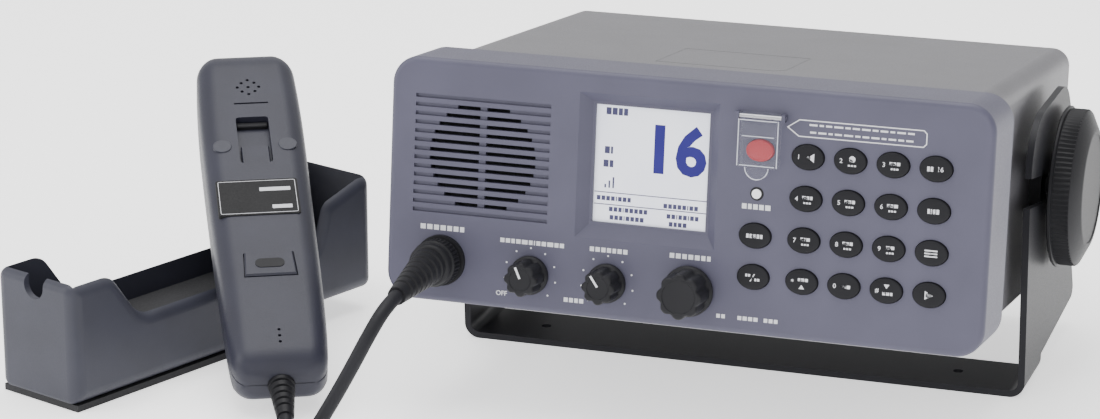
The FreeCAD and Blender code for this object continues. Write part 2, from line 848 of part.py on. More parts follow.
def relief_line():
    """Where the plug ends, which way it points, and where its relief starts to droop."""
    front = face_y - socket_flange_t - plug_len
    start = tip_back(Part.Vertex(V(socket_x, front, socket_z))).Point
    leave = tip_back(Part.Vertex(V(socket_x, front - 10, socket_z))).Point - start
    leave.normalize()
    return start, leave, start + leave * relief_neck


def plug_strain_relief():
    start, leave, knee = relief_line()
    tip = knee + relief_way * (relief_len - relief_neck)
    middle = knee + relief_way * ((relief_len - relief_neck) / 2)
    rings = [(start, leave, relief_r), (middle, relief_way, (relief_r + relief_tip_r) / 2),
             (tip, relief_way, relief_tip_r)]
    wires = [Part.Wire([Part.Circle(centre, way, r).toShape()]) for centre, way, r in rings]
    return Part.makeLoft(wires, True, False)


def plug_route():
    tip = relief_line()[2] + relief_way * (relief_len - relief_neck)
    print("plug cord starts at", [round(v, 2) for v in tip])
    return [tuple(tip), tuple(tip + relief_way * 13), (-109.6, -188.5, 59.0), (-114.6, -196.0, 46.5),
            (-120.6, -201.0, 34.0), (-126.5, -206.0, 22.5), (-133.5, -213.0, 12.0), (-143.0, -223.0, 4.8),
            (-154.0, -236.0, 3.2)]


def cord_tube(points):
    """Straight runs joined by tangent arcs, each 0.45 of its shorter run."""
    pts = [V(*p) for p in points]
    edges = []
    at = pts[0]
    radii = []
    for i in range(1, len(pts) - 1):
        back = pts[i - 1] - pts[i]
        ahead = pts[i + 1] - pts[i]
        shorter = min(back.Length, ahead.Length)
        back.normalize()
        ahead.normalize()
        turn = math.pi - back.getAngle(ahead)
        cut = 0.45 * shorter
        radius = cut / math.tan(turn / 2)
        radii.append(round(radius, 1))
        start = pts[i] + back * cut
        end = pts[i] + ahead * cut
        inward = (back + ahead).normalize()
        half = (math.pi - turn) / 2
        middle = pts[i] + inward * (radius / math.sin(half) - radius)
        edges.append(Part.LineSegment(at, start).toShape())
        edges.append(Part.Arc(start, middle, end).toShape())
        at = end
    edges.append(Part.LineSegment(at, pts[-1]).toShape())
    path = Part.Wire(edges)
    first = (pts[1] - pts[0]).normalize()
    profile = Part.Wire([Part.Circle(pts[0], first, cord_r).toShape()])
    tube = path.makePipeShell([profile], True, False, 2)
    ideal = math.pi * cord_r ** 2 * path.Length
    print("cord length", round(path.Length, 1), "radii", radii, "volume share", round(tube.Volume / ideal, 4))
    return tube


def handset_route():
    start = handset_place(Part.Vertex(V(0, -foot_relief_len, 0))).Point
    leave = handset_place(Part.Vertex(V(0, -foot_relief_len - 5.0, 0))).Point
    print("handset cord starts at", [round(v, 2) for v in start], [round(v, 2) for v in leave])
    return [tuple(start), tuple(leave), (-156.4, -167.6, 3.1), (-155.0, -177.0, 3.1), (-156.5, -190.0, 3.1),
            (-160.5, -205.0, 3.1), (-168.0, -222.0, 3.1)]


def cord_coil():
    wide = coil_turns_wide * cord_r
    high = coil_layers * 2 * cord_r
    ring = Part.makeCylinder(coil_mid_r + wide, high, V(coil_x, coil_y, 0))
    return ring.cut(Part.makeCylinder(coil_mid_r - wide, high + 2, V(coil_x, coil_y, -1)))


# Every sub-part by name

def build():
    radio = {
        "front_panel": front_panel(),
        "cover_hinge_pin": cover_hinge_pin(),
        "distress_cover": distress_cover(),
        "distress_key": distress_key(),
        "keypad_mat": keypad_mat(),
        "control_board": control_board(),
        "alarm_lamp": alarm_lamp(),
        "display_window": display_window(),
        "display_module": display_module(),
        "speaker": speaker(),
        "volume_and_squelch_controls": Part.Compound([control(volume_x, small_knob_z),
                                                      control(squelch_x, small_knob_z)]),
        "channel_encoder": control(channel_x, channel_z),
        "volume_knob": turning_knob(volume_x, small_knob_z, small_knob_r, small_knob_len, 2.6),
        "squelch_knob": turning_knob(squelch_x, small_knob_z, small_knob_r, small_knob_len, 2.6),
        "channel_knob": channel_knob(),
        "channel_rotor": channel_rotor(),
        "handset_socket": handset_socket(),
        "case_cover": boss_holes(screw_holes(case_cover())),
        "case_tray": screw_holes(case_tray()),
        "rear_heatsink": rear_heatsink(),
        "main_board": main_board(),
        "antenna_socket": antenna_socket(),
        "power_socket": power_socket(),
        "case_screws": case_screws(),
        "clamp_bosses": clamp_bosses(),
        "clamp_knob_left": clamp_knob(-1),
        "clamp_knob_right": clamp_knob(1),
        "handset_plug": handset_plug(),
    }
    names = ["key_1", "key_2", "key_3", "key_channel", "key_4", "key_5", "key_6", "key_file",
             "key_7", "key_8", "key_9", "key_menu", "key_star", "key_0", "key_hash", "key_enter",
             "key_cancel", "key_call"]
    for name, (x, z) in zip(names, key_places()):
        radio[name] = key(x, z)
    parts = {name: tip_back(shape) for name, shape in radio.items()}
    parts["bracket"] = bracket()
    parts["cradle_shell"] = cradle_shell()
    parts["cradle_foot"] = cradle_foot()
    parts["cradle_pad"] = cradle_pad()
    parts["handset_inner_shell"] = handset_inner_shell()
    parts["handset_outer_shell"] = handset_outer_shell()
    parts["talk_button"] = talk_button()
    parts["earpiece_capsule"] = capsule(earpiece_s, 5.0)
    parts["microphone_capsule"] = capsule(microphone_s, 3.0)
    parts["handset_strain_relief"] = foot_strain_relief()
    parts["plug_strain_relief"] = plug_strain_relief()
    parts["cord_plug_run"] = cord_tube(plug_route())
    parts["cord_handset_run"] = cord_tube(handset_route())
    parts["cord_coil"] = cord_coil()
    return parts


os.makedirs("parts", exist_ok=True)
for name, shape in build().items():
    print(name, len(shape.Solids), shape.isValid(), round(shape.Volume, 1))
    shape.exportStep("parts/" + name + ".step")
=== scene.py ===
# %% [markdown]
# A marine radio in its bracket, with a handset leaning on its cradle.
# The solids of the part come in as a fixed frame, in metres: X is right, Y is
# back, Z is up, and the origin is the middle of the bracket's base strip.
# Everything that is made below sits on that frame, and the pieces on the radio and the handset move with
# their bodies; the two free stretches of cord stay where they are made.

# %% Load the frame
import bmesh
import bpy
import json
import math
from mathutils import Matrix, Vector


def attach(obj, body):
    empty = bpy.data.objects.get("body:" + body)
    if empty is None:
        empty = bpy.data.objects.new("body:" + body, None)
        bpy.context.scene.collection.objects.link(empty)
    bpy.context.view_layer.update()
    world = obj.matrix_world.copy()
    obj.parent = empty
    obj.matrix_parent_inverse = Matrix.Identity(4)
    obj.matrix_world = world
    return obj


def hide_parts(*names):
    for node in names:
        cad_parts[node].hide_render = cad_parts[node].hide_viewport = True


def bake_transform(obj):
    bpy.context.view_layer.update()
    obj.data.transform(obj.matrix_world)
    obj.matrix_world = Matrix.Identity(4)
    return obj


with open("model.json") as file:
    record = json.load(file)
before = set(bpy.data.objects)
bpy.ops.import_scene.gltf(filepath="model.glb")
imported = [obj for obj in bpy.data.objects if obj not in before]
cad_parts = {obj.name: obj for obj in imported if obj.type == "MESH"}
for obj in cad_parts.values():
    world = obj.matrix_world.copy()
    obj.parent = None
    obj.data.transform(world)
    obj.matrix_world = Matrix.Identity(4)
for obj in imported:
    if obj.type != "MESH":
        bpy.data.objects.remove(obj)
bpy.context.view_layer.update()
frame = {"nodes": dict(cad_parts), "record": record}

# %% [markdown]
# The radio is drawn level about the axis of its two clamp knobs and then
# tipped back by seven degrees. It would be possible to model everything
# already tipped, but a flat face is much easier to lay out on, so one function
# takes a place on the level radio, in millimetres, to its place in the scene.

# %% Places on the radio
MM = 0.001
TILT = math.radians(7.0)
PIVOT = Vector((0.0, 34.0, 83.0))
FACE_Y = -144.0
TIP_BACK = Matrix.Rotation(-TILT, 4, "X")


def on_radio(x, y, z):
    return (TIP_BACK @ Vector((x, y, z)) + PIVOT) * MM


ROOT = "bracket_and_cradle"
RADIO = "radio_unit"
print("middle of the panel at", [round(v, 3) for v in on_radio(0, FACE_Y, 0)])

# %% [markdown]
# The camera stands where the photograph was taken from: a little to the right
# and above, far away, with a long lens. Its three axes are worked out from the
# two viewing angles, because a matrix of axes has no order of turns to get
# wrong.

# %% Camera
SENSOR_WIDTH = 36.0
PHOTO_WIDTH = 1100
FOCAL_PIXELS = 3524.3
CAMERA_PLACE = Vector((404.69, -1460.20, 534.80)) * MM

camera_data = bpy.data.cameras.new("photo_camera")
camera_data.sensor_width = SENSOR_WIDTH
camera_data.sensor_fit = "HORIZONTAL"
camera_data.lens = SENSOR_WIDTH * FOCAL_PIXELS / PHOTO_WIDTH
camera_data.clip_end = 50.0
camera = bpy.data.objects.new("photo_camera", camera_data)
bpy.context.scene.collection.objects.link(camera)

azimuth = math.radians(18.901)
elevation = math.radians(17.117)
roll = math.radians(-0.102)
back = Vector((math.sin(azimuth) * math.cos(elevation),
               -math.cos(azimuth) * math.cos(elevation), math.sin(elevation)))
right = Vector((math.cos(azimuth), math.sin(azimuth), 0.0))
up = back.cross(right)
rolled_right = math.cos(roll) * right + math.sin(roll) * up
rolled_up = -math.sin(roll) * right + math.cos(roll) * up
axes = Matrix((rolled_right, rolled_up, back)).transposed().to_4x4()
camera.matrix_world = Matrix.Translation(CAMERA_PLACE) @ axes
bpy.context.scene.camera = camera
print("camera lens", round(camera_data.lens, 2))

# %% [markdown]
# Every step below makes an object, and most make a material, so two small
# helpers come first. Each material here has one Principled shader for its
# surface. It serves plastic, rubber, metal and clear plastic alike, where a
# blend of simpler shaders would have to be built anew for each.

# %% Helpers for objects and materials
def new_object(name, data):
    made = bpy.data.objects.new(name, data)
    bpy.context.scene.collection.objects.link(made)
    return made


def finish_nodes(name):
    """A new material, with its nodes, its links and its surface shader."""
    material = bpy.data.materials.new(name)
    material.use_nodes = True
    nodes = material.node_tree.nodes
    shader = next(n for n in nodes if n.type == "BSDF_PRINCIPLED")
    return material, nodes, material.node_tree.links, shader


# %% [markdown]
# The photograph is a catalogue picture on white, so the floor is one large pale
# plane. It glows by itself as well, because a floor that only takes light turns
# grey away from the lamps. Its shine is kept low, so that it shows the soft
# shadows and no mirror image.

# %% Floor
FLOOR_REACH = 9.0
floor_corners = [(sx * FLOOR_REACH, sy * FLOOR_REACH, 0)
                 for sx, sy in ((-1, -1), (1, -1), (1, 1), (-1, 1))]
floor_mesh = bpy.data.meshes.new("floor")
floor_mesh.from_pydata(floor_corners, [], [(0, 1, 2, 3)])
floor = new_object("floor", floor_mesh)
floor_white, _, _, floor_shader = finish_nodes("floor_white")
floor_shader.inputs["Base Color"].default_value = (0.93, 0.93, 0.93, 1)
floor_shader.inputs["Roughness"].default_value = 0.9
floor_shader.inputs["Specular IOR Level"].default_value = 0.1
floor_shader.inputs["Emission Color"].default_value = (1, 1, 1, 1)
floor_shader.inputs["Emission Strength"].default_value = 1.0
floor_mesh.materials.append(floor_white)
print("floor", 2 * FLOOR_REACH, "m wide")

# %% [markdown]
# The light is soft, mostly from above and from the left. Broad area lights give
# soft edges to the shadows, where small lamps would give hard ones. An even
# white sky fills in what the three lights leave dark.

# %% Light
world = bpy.data.worlds.new("studio")
bpy.context.scene.world = world
world.use_nodes = True
sky = world.node_tree.nodes["Background"]
sky.inputs["Color"].default_value = (1.0, 1.0, 1.0, 1)
sky.inputs["Strength"].default_value = 1.0


def soft_light(name, place, aim, size, watts):
    data = bpy.data.lights.new(name, "AREA")
    data.shape = "RECTANGLE"
    data.size = size[0]
    data.size_y = size[1]
    data.energy = watts
    lamp = new_object(name, data)
    lamp.location = place
    lamp.rotation_euler = (Vector(aim) - Vector(place)).to_track_quat("-Z", "Y").to_euler()


soft_light("top_light", (-0.3, 0.1, 2.2), (0, 0, 0), (2.2, 1.6), 50)
soft_light("left_light", (-2.2, -1.3, 1.3), (0, 0, 0.1), (1.4, 1.6), 30)
soft_light("front_light", (0.5, -2.6, 0.9), (0, 0, 0.1), (1.8, 1.2), 16)

# %% [markdown]
# Moulded plastic is not one flat colour. It has a fine spark-eroded grain, a
# faint cloudiness where the melt flowed, and a slightly uneven shine. Each of
# these is a noise at its own scale, in millimetres on the object, so the same
# recipe serves every plastic and rubber here with other numbers. A photograph
# of plastic would also do, but noise has no seams and no direction.

# %% Helpers for shader nodes
NOISE_LOW, NOISE_HIGH = 0.3, 0.7


def noise(nodes, links, scale, detail, coordinates):
    made = nodes.new("ShaderNodeTexNoise")
    made.inputs["Scale"].default_value = scale
    made.inputs["Detail"].default_value = detail
    links.new(coordinates, made.inputs["Vector"])
    return made.outputs[0]


def spread(nodes, links, value, low, high):
    """Takes a noise's middle range to low..high."""
    made = nodes.new("ShaderNodeMapRange")
    made.inputs["From Min"].default_value = NOISE_LOW
    made.inputs["From Max"].default_value = NOISE_HIGH
    made.inputs["To Min"].default_value = low
    made.inputs["To Max"].default_value = high
    links.new(value, made.inputs["Value"])
    return made.outputs[0]


def mixed(nodes, links, share, dark, light):
    made = nodes.new("ShaderNodeMix")
    made.data_type = "RGBA"
    made.inputs[6].default_value = (*dark, 1)
    made.inputs[7].default_value = (*light, 1)
    links.new(share, made.inputs[0])
    return made.outputs[2]


def bump(nodes, links, height, deep_mm):
    made = nodes.new("ShaderNodeBump")
    made.inputs["Distance"].default_value = deep_mm * MM
    links.new(height, made.inputs["Height"])
    return made.outputs[0]


print("noise is read from", NOISE_LOW, "to", NOISE_HIGH)

# %% [markdown]
# Now the recipe itself. A slow noise drifts the colour a little, and a fine one
# does two jobs: it makes the grain's bumps, and it makes the shine uneven in
# the same places, as on a real moulding. Two separate noises would cost more
# and look less like one surface.

# %% A recipe for moulded plastic and rubber
FLOW_SCALE = 45.0
ROUGH_DRIFT = 0.06


def moulded(name, tone, rough=0.5, cloud=0.12, grain_mm=0.6, grain_deep=0.02, shine=0.4):
    """Tone is the mean colour, cloud how far it drifts, grain_mm the size of the grain."""
    material, nodes, links, shader = finish_nodes(name)
    place = nodes.new("ShaderNodeTexCoord").outputs["Object"]
    flow = noise(nodes, links, FLOW_SCALE, 3.0, place)
    fine = noise(nodes, links, 1000.0 / grain_mm, 2.0, place)
    flow_share = spread(nodes, links, flow, 0.0, 1.0)
    dark = [c * (1 - cloud) for c in tone]
    light = [min(1.0, c * (1 + cloud)) for c in tone]
    links.new(mixed(nodes, links, flow_share, dark, light), shader.inputs["Base Color"])
    uneven = spread(nodes, links, fine, rough - ROUGH_DRIFT, rough + ROUGH_DRIFT)
    links.new(uneven, shader.inputs["Roughness"])
    links.new(bump(nodes, links, fine, grain_deep), shader.inputs["Normal"])
    shader.inputs["Specular IOR Level"].default_value = shine
    return material


print("the colour drifts in about", FLOW_SCALE, "clouds a metre")

# %% [markdown]
# The tones follow the photograph: a blue-violet grey panel, a warmer grey case, near-black knobs and
# keys, and a dark blue-grey handset on a slightly lighter cradle. The bracket is dark plastic, and its
# tone is taken darker still, to near black, as painted shade for the dark shadow it lies in. Rubber is
# rougher and duller than plastic. What hides inside gets a finish too, since the grooves over the
# speaker are open.

# %% Plastics and rubbers
panel_grey = moulded("panel_grey", (0.066, 0.064, 0.098),
                     rough=0.48, cloud=0.06, grain_mm=0.5, grain_deep=0.025, shine=0.35)
case_grey = moulded("case_grey", (0.098, 0.096, 0.106),
                    rough=0.42, cloud=0.06, grain_mm=0.4, grain_deep=0.02, shine=0.35)
heatsink_grey = moulded("heatsink_grey", (0.07, 0.07, 0.08),
                        rough=0.42, cloud=0.1, grain_mm=0.8, grain_deep=0.03)
# The bracket's near-black tone is partly its own dark plastic and partly painted shade for the shadow it
# lies in.
bracket_grey = moulded("bracket_grey", (0.012, 0.012, 0.015),
                       rough=0.44, cloud=0.1, grain_mm=0.5, shine=0.18)
black_plastic = moulded("black_plastic", (0.012, 0.012, 0.014),
                        rough=0.46, cloud=0.15, grain_mm=0.5, shine=0.16)
key_rubber = moulded("key_rubber", (0.009, 0.009, 0.011),
                     rough=0.5, cloud=0.15, grain_mm=0.35, grain_deep=0.012, shine=0.16)
red_rubber = moulded("red_rubber", (0.32, 0.006, 0.008), rough=0.42, cloud=0.12, grain_mm=0.4)
handset_grey = moulded("handset_grey", (0.021, 0.0215, 0.034),
                       rough=0.45, cloud=0.1, grain_mm=0.6, grain_deep=0.03, shine=0.3)
cradle_grey = moulded("cradle_grey", (0.031, 0.032, 0.045),
                      rough=0.47, cloud=0.1, grain_mm=0.6, grain_deep=0.03, shine=0.32)
cord_rubber = moulded("cord_rubber", (0.011, 0.011, 0.014),
                      rough=0.55, cloud=0.2, grain_mm=0.8, grain_deep=0.03, shine=0.22)
foot_rubber = moulded("foot_rubber", (0.012, 0.012, 0.014),
                      rough=0.75, cloud=0.2, grain_mm=0.9, grain_deep=0.05)
speaker_black = moulded("speaker_black", (0.01, 0.01, 0.011),
                        rough=0.8, cloud=0.25, grain_mm=0.7, grain_deep=0.05)
board_green = moulded("board_green", (0.014, 0.11, 0.045), rough=0.35, cloud=0.2, grain_mm=1.5)
module_grey = moulded("module_grey", (0.35, 0.35, 0.36), rough=0.4, cloud=0.08, grain_mm=0.8)
print("materials so far", len(bpy.data.materials))

# %% [markdown]
# Metals show their making: a turned brass bush and a rolled steel screw both
# have fine lines. A picture of brushed metal could give them, but a noise that
# is stretched hard along one axis does it with no picture at all.

# %% Metals
LINE_SCALE = 900.0
LINE_SHADE = 0.86


def drawn_metal(name, tone, rough, stretch):
    """Metal with fine lines along the axis where stretch is small."""
    material, nodes, links, shader = finish_nodes(name)
    place = nodes.new("ShaderNodeTexCoord").outputs["Object"]
    pulled = nodes.new("ShaderNodeMapping")
    pulled.inputs["Scale"].default_value = stretch
    links.new(place, pulled.inputs["Vector"])
    lines = noise(nodes, links, LINE_SCALE, 3.0, pulled.outputs[0])
    dark = [c * LINE_SHADE for c in tone]
    links.new(mixed(nodes, links, lines, dark, tone), shader.inputs["Base Color"])
    links.new(spread(nodes, links, lines, rough - 0.07, rough + 0.07), shader.inputs["Roughness"])
    links.new(bump(nodes, links, lines, 0.01), shader.inputs["Normal"])
    shader.inputs["Metallic"].default_value = 1.0
    return material


steel = drawn_metal("steel", (0.56, 0.56, 0.58), 0.32, (1, 1, 0.1))
brass = drawn_metal("brass", (0.68, 0.48, 0.2), 0.3, (1, 0.1, 1))
print("metals", steel.name.split(".")[0], "and", brass.name.split(".")[0])

# %% [markdown]
# The flip cover and the display's window are clear, and the lamp has a milky
# lens. Glass shaders bend the light behind them and need many samples. A thin
# pane hardly bends light, so these are mostly see-through instead, with just a
# faint tone and a scuffed shine left on the surface.

# %% Clear and milky plastics
def clear(name, tone, rough, opacity):
    """Thin clear plastic: mostly see-through, with faint scuffs in its shine."""
    material, nodes, links, shader = finish_nodes(name)
    place = nodes.new("ShaderNodeTexCoord").outputs["Object"]
    scuffs = noise(nodes, links, 160.0, 6.0, place)
    links.new(spread(nodes, links, scuffs, rough, rough + 0.08), shader.inputs["Roughness"])
    shader.inputs["Base Color"].default_value = (*tone, 1)
    shader.inputs["Alpha"].default_value = opacity
    shader.inputs["Specular IOR Level"].default_value = 0.6
    material.surface_render_method = "BLENDED"
    return material


window_clear = clear("window_clear", (0.9, 0.93, 1.0), 0.04, 0.06)
cover_clear = clear("cover_clear", (0.3, 0.31, 0.38), 0.1, 0.06)


def milky(name, dark, light):
    """White plastic with a faint haze, for a lamp's lens."""
    material, nodes, links, shader = finish_nodes(name)
    place = nodes.new("ShaderNodeTexCoord").outputs["Object"]
    haze = noise(nodes, links, 700.0, 2.0, place)
    links.new(mixed(nodes, links, haze, dark, light), shader.inputs["Base Color"])
    shader.inputs["Roughness"].default_value = 0.2
    return material


lamp_white = milky("lamp_white", (0.78, 0.78, 0.8), (0.92, 0.92, 0.94))
print("materials so far", len(bpy.data.materials))

# %% [markdown]
# Every solid of the frame gets the finish of the material it is made of. The record names a slot for
# each solid, so one table from slot to finish dresses them all, where dressing them one by one would be
# sixty lines. Only the clamp bosses get another finish than their slot's: black, as painted shade,
# because they sit in the shadow beside the bracket and look as dark as it.

# %% Dress the solids
FINISH_OF_SLOT = {
    "panel_grey": panel_grey, "case_grey": case_grey, "bracket_grey": bracket_grey,
    "black_plastic": black_plastic, "key_rubber": key_rubber, "red_rubber": red_rubber,
    "clear_cover": cover_clear, "lcd": window_clear, "module": module_grey,
    "board_green": board_green, "steel": steel, "aluminium": heatsink_grey, "brass": brass,
    "lamp": lamp_white, "handset_grey": handset_grey, "cradle_grey": cradle_grey,
    "cord_rubber": cord_rubber, "foot_rubber": foot_rubber, "speaker_black": speaker_black,
}


def dress(solid, finish):
    solid.data.materials.clear()
    solid.data.materials.append(finish)
    for face in solid.data.polygons:
        face.material_index = 0


def slot_of(solid):
    """The slot's name, read from the material that came in with the solid."""
    names = [m.name.split(".")[0] for m in solid.data.materials if m]
    return names[0] if names else ""


undressed = []
for node_name, solid in frame["nodes"].items():
    slot_name = slot_of(solid)
    if slot_name in FINISH_OF_SLOT:
        dress(solid, FINISH_OF_SLOT[slot_name])
    else:
        undressed.append((node_name, slot_name))
# The clamp bosses are dressed black as painted shade for the shadow they sit in.
dress(frame["nodes"]["clamp_bosses"], black_plastic)
print("solids with no finish yet", undressed)

# %% [markdown]
# The cord comes first among the pieces, because it decides how far the object
# spreads. It leaves the plug, drops to the table in one slack curve, is wound
# in a neat coil in front of the handset, and goes up into the handset's foot.
# A drawn curve with few control points bends as a real cord does, where points taken close together
# along arcs look like bent wire. The two free ends become tubes that follow the line of their curves.

# %% Routes of the cord
CORD_R = 3.0 * MM
plug_route = [(-106.1, -165.62, 69.07), (-106.1, -178.6, 68.29), (-109.6, -188.5, 59.0),
              (-114.6, -196.0, 46.5), (-120.6, -201.0, 34.0), (-126.5, -206.0, 22.5),
              (-133.5, -213.0, 12.0), (-141.5, -222.0, 4.8), (-148.6, -232.5, 3.2)]
handset_route = [(-160.53, -159.07, 6.64), (-158.41, -163.09, 4.55), (-156.4, -168.6, 3.2),
                 (-155.0, -177.0, 3.1), (-156.5, -189.0, 3.1), (-161.0, -197.5, 3.1),
                 (-167.0, -203.0, 3.2)]
COIL_MIDDLE = Vector((-190.0, -257.0, 0.0))
COIL_OUTER = 41.6
COIL_PITCH = 6.1
COIL_START = math.radians(20.0)
COIL_LOW = 3.05
TURNS_A_LAYER = 2.8
CLIMB = 0.17
POINTS_A_TURN = 14


def coil_points():
    """Inwards on the table, up at the innermost turn, and outwards on top."""
    total = 2 * TURNS_A_LAYER + CLIMB
    steps = round(total * POINTS_A_TURN)
    places = []
    for i in range(steps + 1):
        turned = total * i / steps
        angle = COIL_START - 2 * math.pi * turned
        if turned <= TURNS_A_LAYER:
            radius = COIL_OUTER - COIL_PITCH * turned
            height = COIL_LOW
        elif turned <= TURNS_A_LAYER + CLIMB:
            radius = COIL_OUTER - COIL_PITCH * TURNS_A_LAYER
            height = COIL_LOW + COIL_PITCH * (turned - TURNS_A_LAYER) / CLIMB
        else:
            radius = COIL_OUTER - COIL_PITCH * (total - turned)
            height = COIL_LOW + COIL_PITCH
        place = COIL_MIDDLE + Vector((radius * math.cos(angle), radius * math.sin(angle), height))
        places.append(tuple(place))
    return places


coil_out = [(-190.0, -214.2, 9.1), (-181.0, -211.0, 8.4), (-173.0, -207.6, 5.0)]
coil_route = [plug_route[-1]] + coil_points() + coil_out + [handset_route[-1]]
print("points in the coil", len(coil_route))

# %% [markdown]
# The three routes become smooth curves. A curve object could be bevelled and
# left at that, but a bevelled curve can't bend with a joint point by point. So
# the line that each curve runs along is read back here as a row of points.

# %% Smooth curves
def route_curve(name, route, radius=0.0):
    """A smooth curve with the route's points, in millimetres, as its control points."""
    data = bpy.data.curves.new(name, "CURVE")
    data.dimensions = "3D"
    data.resolution_u = 8
    data.bevel_depth = radius
    data.bevel_resolution = 5
    data.use_fill_caps = True
    line = data.splines.new("NURBS")
    line.points.add(len(route) - 1)
    for point, place in zip(line.points, route):
        point.co = (*(Vector(place) * MM), 1.0)
    line.order_u = 3
    line.use_endpoint_u = True
    return new_object(name, data)


def evaluated_mesh(made):
    """A new mesh of the object as it looks with its modifiers applied."""
    return bpy.data.meshes.new_from_object(made.evaluated_get(bpy.context.evaluated_depsgraph_get()))


def line_of(name, route):
    """The points that the route's smooth curve passes through."""
    guide = route_curve(name, route)
    read = evaluated_mesh(guide)
    places = [v.co.copy() for v in read.vertices]
    bpy.data.meshes.remove(read)
    bpy.data.objects.remove(guide)
    return places


def length_of(places):
    return sum((b - a).length for a, b in zip(places, places[1:]))


plug_line = line_of("plug_cord_guide", plug_route)
handset_line = line_of("handset_cord_guide", handset_route)
coil_line = line_of("coil_guide", coil_route)
for cord_name, places in (("plug", plug_line), ("coil", coil_line), ("handset", handset_line)):
    print(cord_name, "length", round(length_of(places), 4))

# %% [markdown]
# Nearly every piece from here on is made of rings: points round the piece, one
# ring after another, with faces between them. Ready-made cylinders and spheres
# would be quicker, but rings take any section and any profile, and keep clean
# four-sided faces. Edges sharper than a set angle are kept crisp, and the rest
# is shaded smooth.

# %% Rings and faces
SHARP_DEGREES = 38


def ring_of(shape, places):
    return [shape.verts.new(p) for p in places]


def bridge(shape, rings):
    """Faces between rings of the same number of points, and over both ends."""
    for low, high in zip(rings, rings[1:]):
        count = len(low)
        for k in range(count):
            shape.faces.new((low[k], low[(k + 1) % count], high[(k + 1) % count], high[k]))
    shape.faces.new(list(reversed(rings[0])))
    shape.faces.new(rings[-1])


def piece_from(shape, name, finish):
    """A finished bmesh as an object, with its faces turned outwards."""
    bmesh.ops.recalc_face_normals(shape, faces=shape.faces)
    data = bpy.data.meshes.new(name)
    shape.to_mesh(data)
    shape.free()
    data.materials.append(finish)
    data.shade_smooth()
    made = new_object(name, data)
    data.set_sharp_from_angle(angle=math.radians(SHARP_DEGREES))
    return made


def tube(name, places, radii, finish, sides=20):
    """A round tube along the places, with its own radius at each of them."""
    shape = bmesh.new()
    rings = []
    side = Vector((1, 0, 0))
    for i, place in enumerate(places):
        ahead = (places[min(i + 1, len(places) - 1)] - places[max(i - 1, 0)]).normalized()
        side = (side - ahead * side.dot(ahead)).normalized()
        other = ahead.cross(side)
        turns = [2 * math.pi * k / sides for k in range(sides)]
        rings.append(ring_of(shape, [place + radii[i] * (math.cos(t) * side + math.sin(t) * other)
                                     for t in turns]))
    bridge(shape, rings)
    return piece_from(shape, name, finish)


print("edges over", SHARP_DEGREES, "degrees stay crisp")

# %% [markdown]
# The two free ends each hang between a body that moves and the table. They are tubes made along their
# curves, and they stay where they are made. The coil only lies there, so it can stay a bevelled curve.
# Each stands for the plain solid that the part has in its place.

# %% The cord's three stretches
plug_cord = tube("plug_cord", plug_line, [CORD_R] * len(plug_line), cord_rubber)
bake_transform(plug_cord)
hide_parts("cord_plug_run")

handset_cord = tube("handset_cord", handset_line, [CORD_R] * len(handset_line), cord_rubber)
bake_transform(handset_cord)
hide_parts("cord_handset_run")

coil_cord = route_curve("coil_cord", coil_route, CORD_R)
coil_cord.data.materials.append(cord_rubber)
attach(coil_cord, ROOT)
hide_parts("cord_coil")

all_cord = length_of(plug_line) + length_of(coil_line) + length_of(handset_line)
print("cord in all", round(all_cord, 3), "m")

# %% [markdown]
# The keys are oval caps of rubber, slightly domed, each standing in its own
# hole. A scaled sphere would be too round at the rim. So each key is a stack
# of oval rings: a straight side, a small rounded shoulder and a low crown,
# which is how the mould shapes it.

# %% Ovals, stacked
def oval(cx, cz, half_w, half_h, y, count=40):
    turns = [2 * math.pi * k / count for k in range(count)]
    return [(cx + half_w * math.cos(t), y, cz + half_h * math.sin(t)) for t in turns]


RADIO_FRAME = Matrix.Translation(PIVOT * MM) @ TIP_BACK @ Matrix.Diagonal((MM, MM, MM, 1.0))


def radio_piece(shape, name, finish, body):
    """A bmesh in the radio's own millimetres, placed and given to its body."""
    shape.transform(RADIO_FRAME)
    made = piece_from(shape, name, finish)
    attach(made, body)
    return made


KEY_HALF_W = 6.9
KEY_HALF_H = 5.3
KEY_CROWN = [(1.0, 2.6), (1.0, -0.75), (0.985, -1.05), (0.95, -1.25), (0.9, -1.35), (0.7, -1.47),
             (0.45, -1.54), (0.2, -1.58)]


def key_cap(name, cx, cz, half_w, half_h, crown, finish, body):
    """Ovals one behind another: crown gives each one's share of the size and its depth."""
    shape = bmesh.new()
    rings = [ring_of(shape, oval(cx, cz, half_w * share, half_h * share, FACE_Y + y))
             for share, y in crown]
    bridge(shape, rings)
    return radio_piece(shape, name, finish, body)


print("rings in a key", len(KEY_CROWN))

# %% [markdown]
# Four rows of four keys and two more at the left stand on one even grid. Each
# could be placed by hand, but a grid is how the real mat is laid out, and two
# spacings then place all eighteen. Every cap moves with the body of its own
# key. The red one under the flip cover has other rings, with a fine groove in
# its crown.

# %% The eighteen keys and the red one
KEY_PITCH_X = 18.0
KEY_PITCH_Z = 17.5
FIRST_KEY_X = 53.5
LEFT_KEY_X = 32.6
TOP_KEY_Z = 27.1
KEY_ROWS = [["key_1", "key_2", "key_3", "key_channel"], ["key_4", "key_5", "key_6", "key_file"],
            ["key_7", "key_8", "key_9", "key_menu"], ["key_star", "key_0", "key_hash", "key_enter"]]
key_centres = {"key_cancel": (LEFT_KEY_X, TOP_KEY_Z - 2 * KEY_PITCH_Z),
               "key_call": (LEFT_KEY_X, TOP_KEY_Z - 3 * KEY_PITCH_Z)}
for row, names in enumerate(KEY_ROWS):
    for column, key_name in enumerate(names):
        key_centres[key_name] = (FIRST_KEY_X + KEY_PITCH_X * column, TOP_KEY_Z - KEY_PITCH_Z * row)

body_of_node = {}
for body_name, node_names in frame["record"]["behaviour"]["bodies"].items():
    for node_name in node_names:
        body_of_node[node_name] = body_name

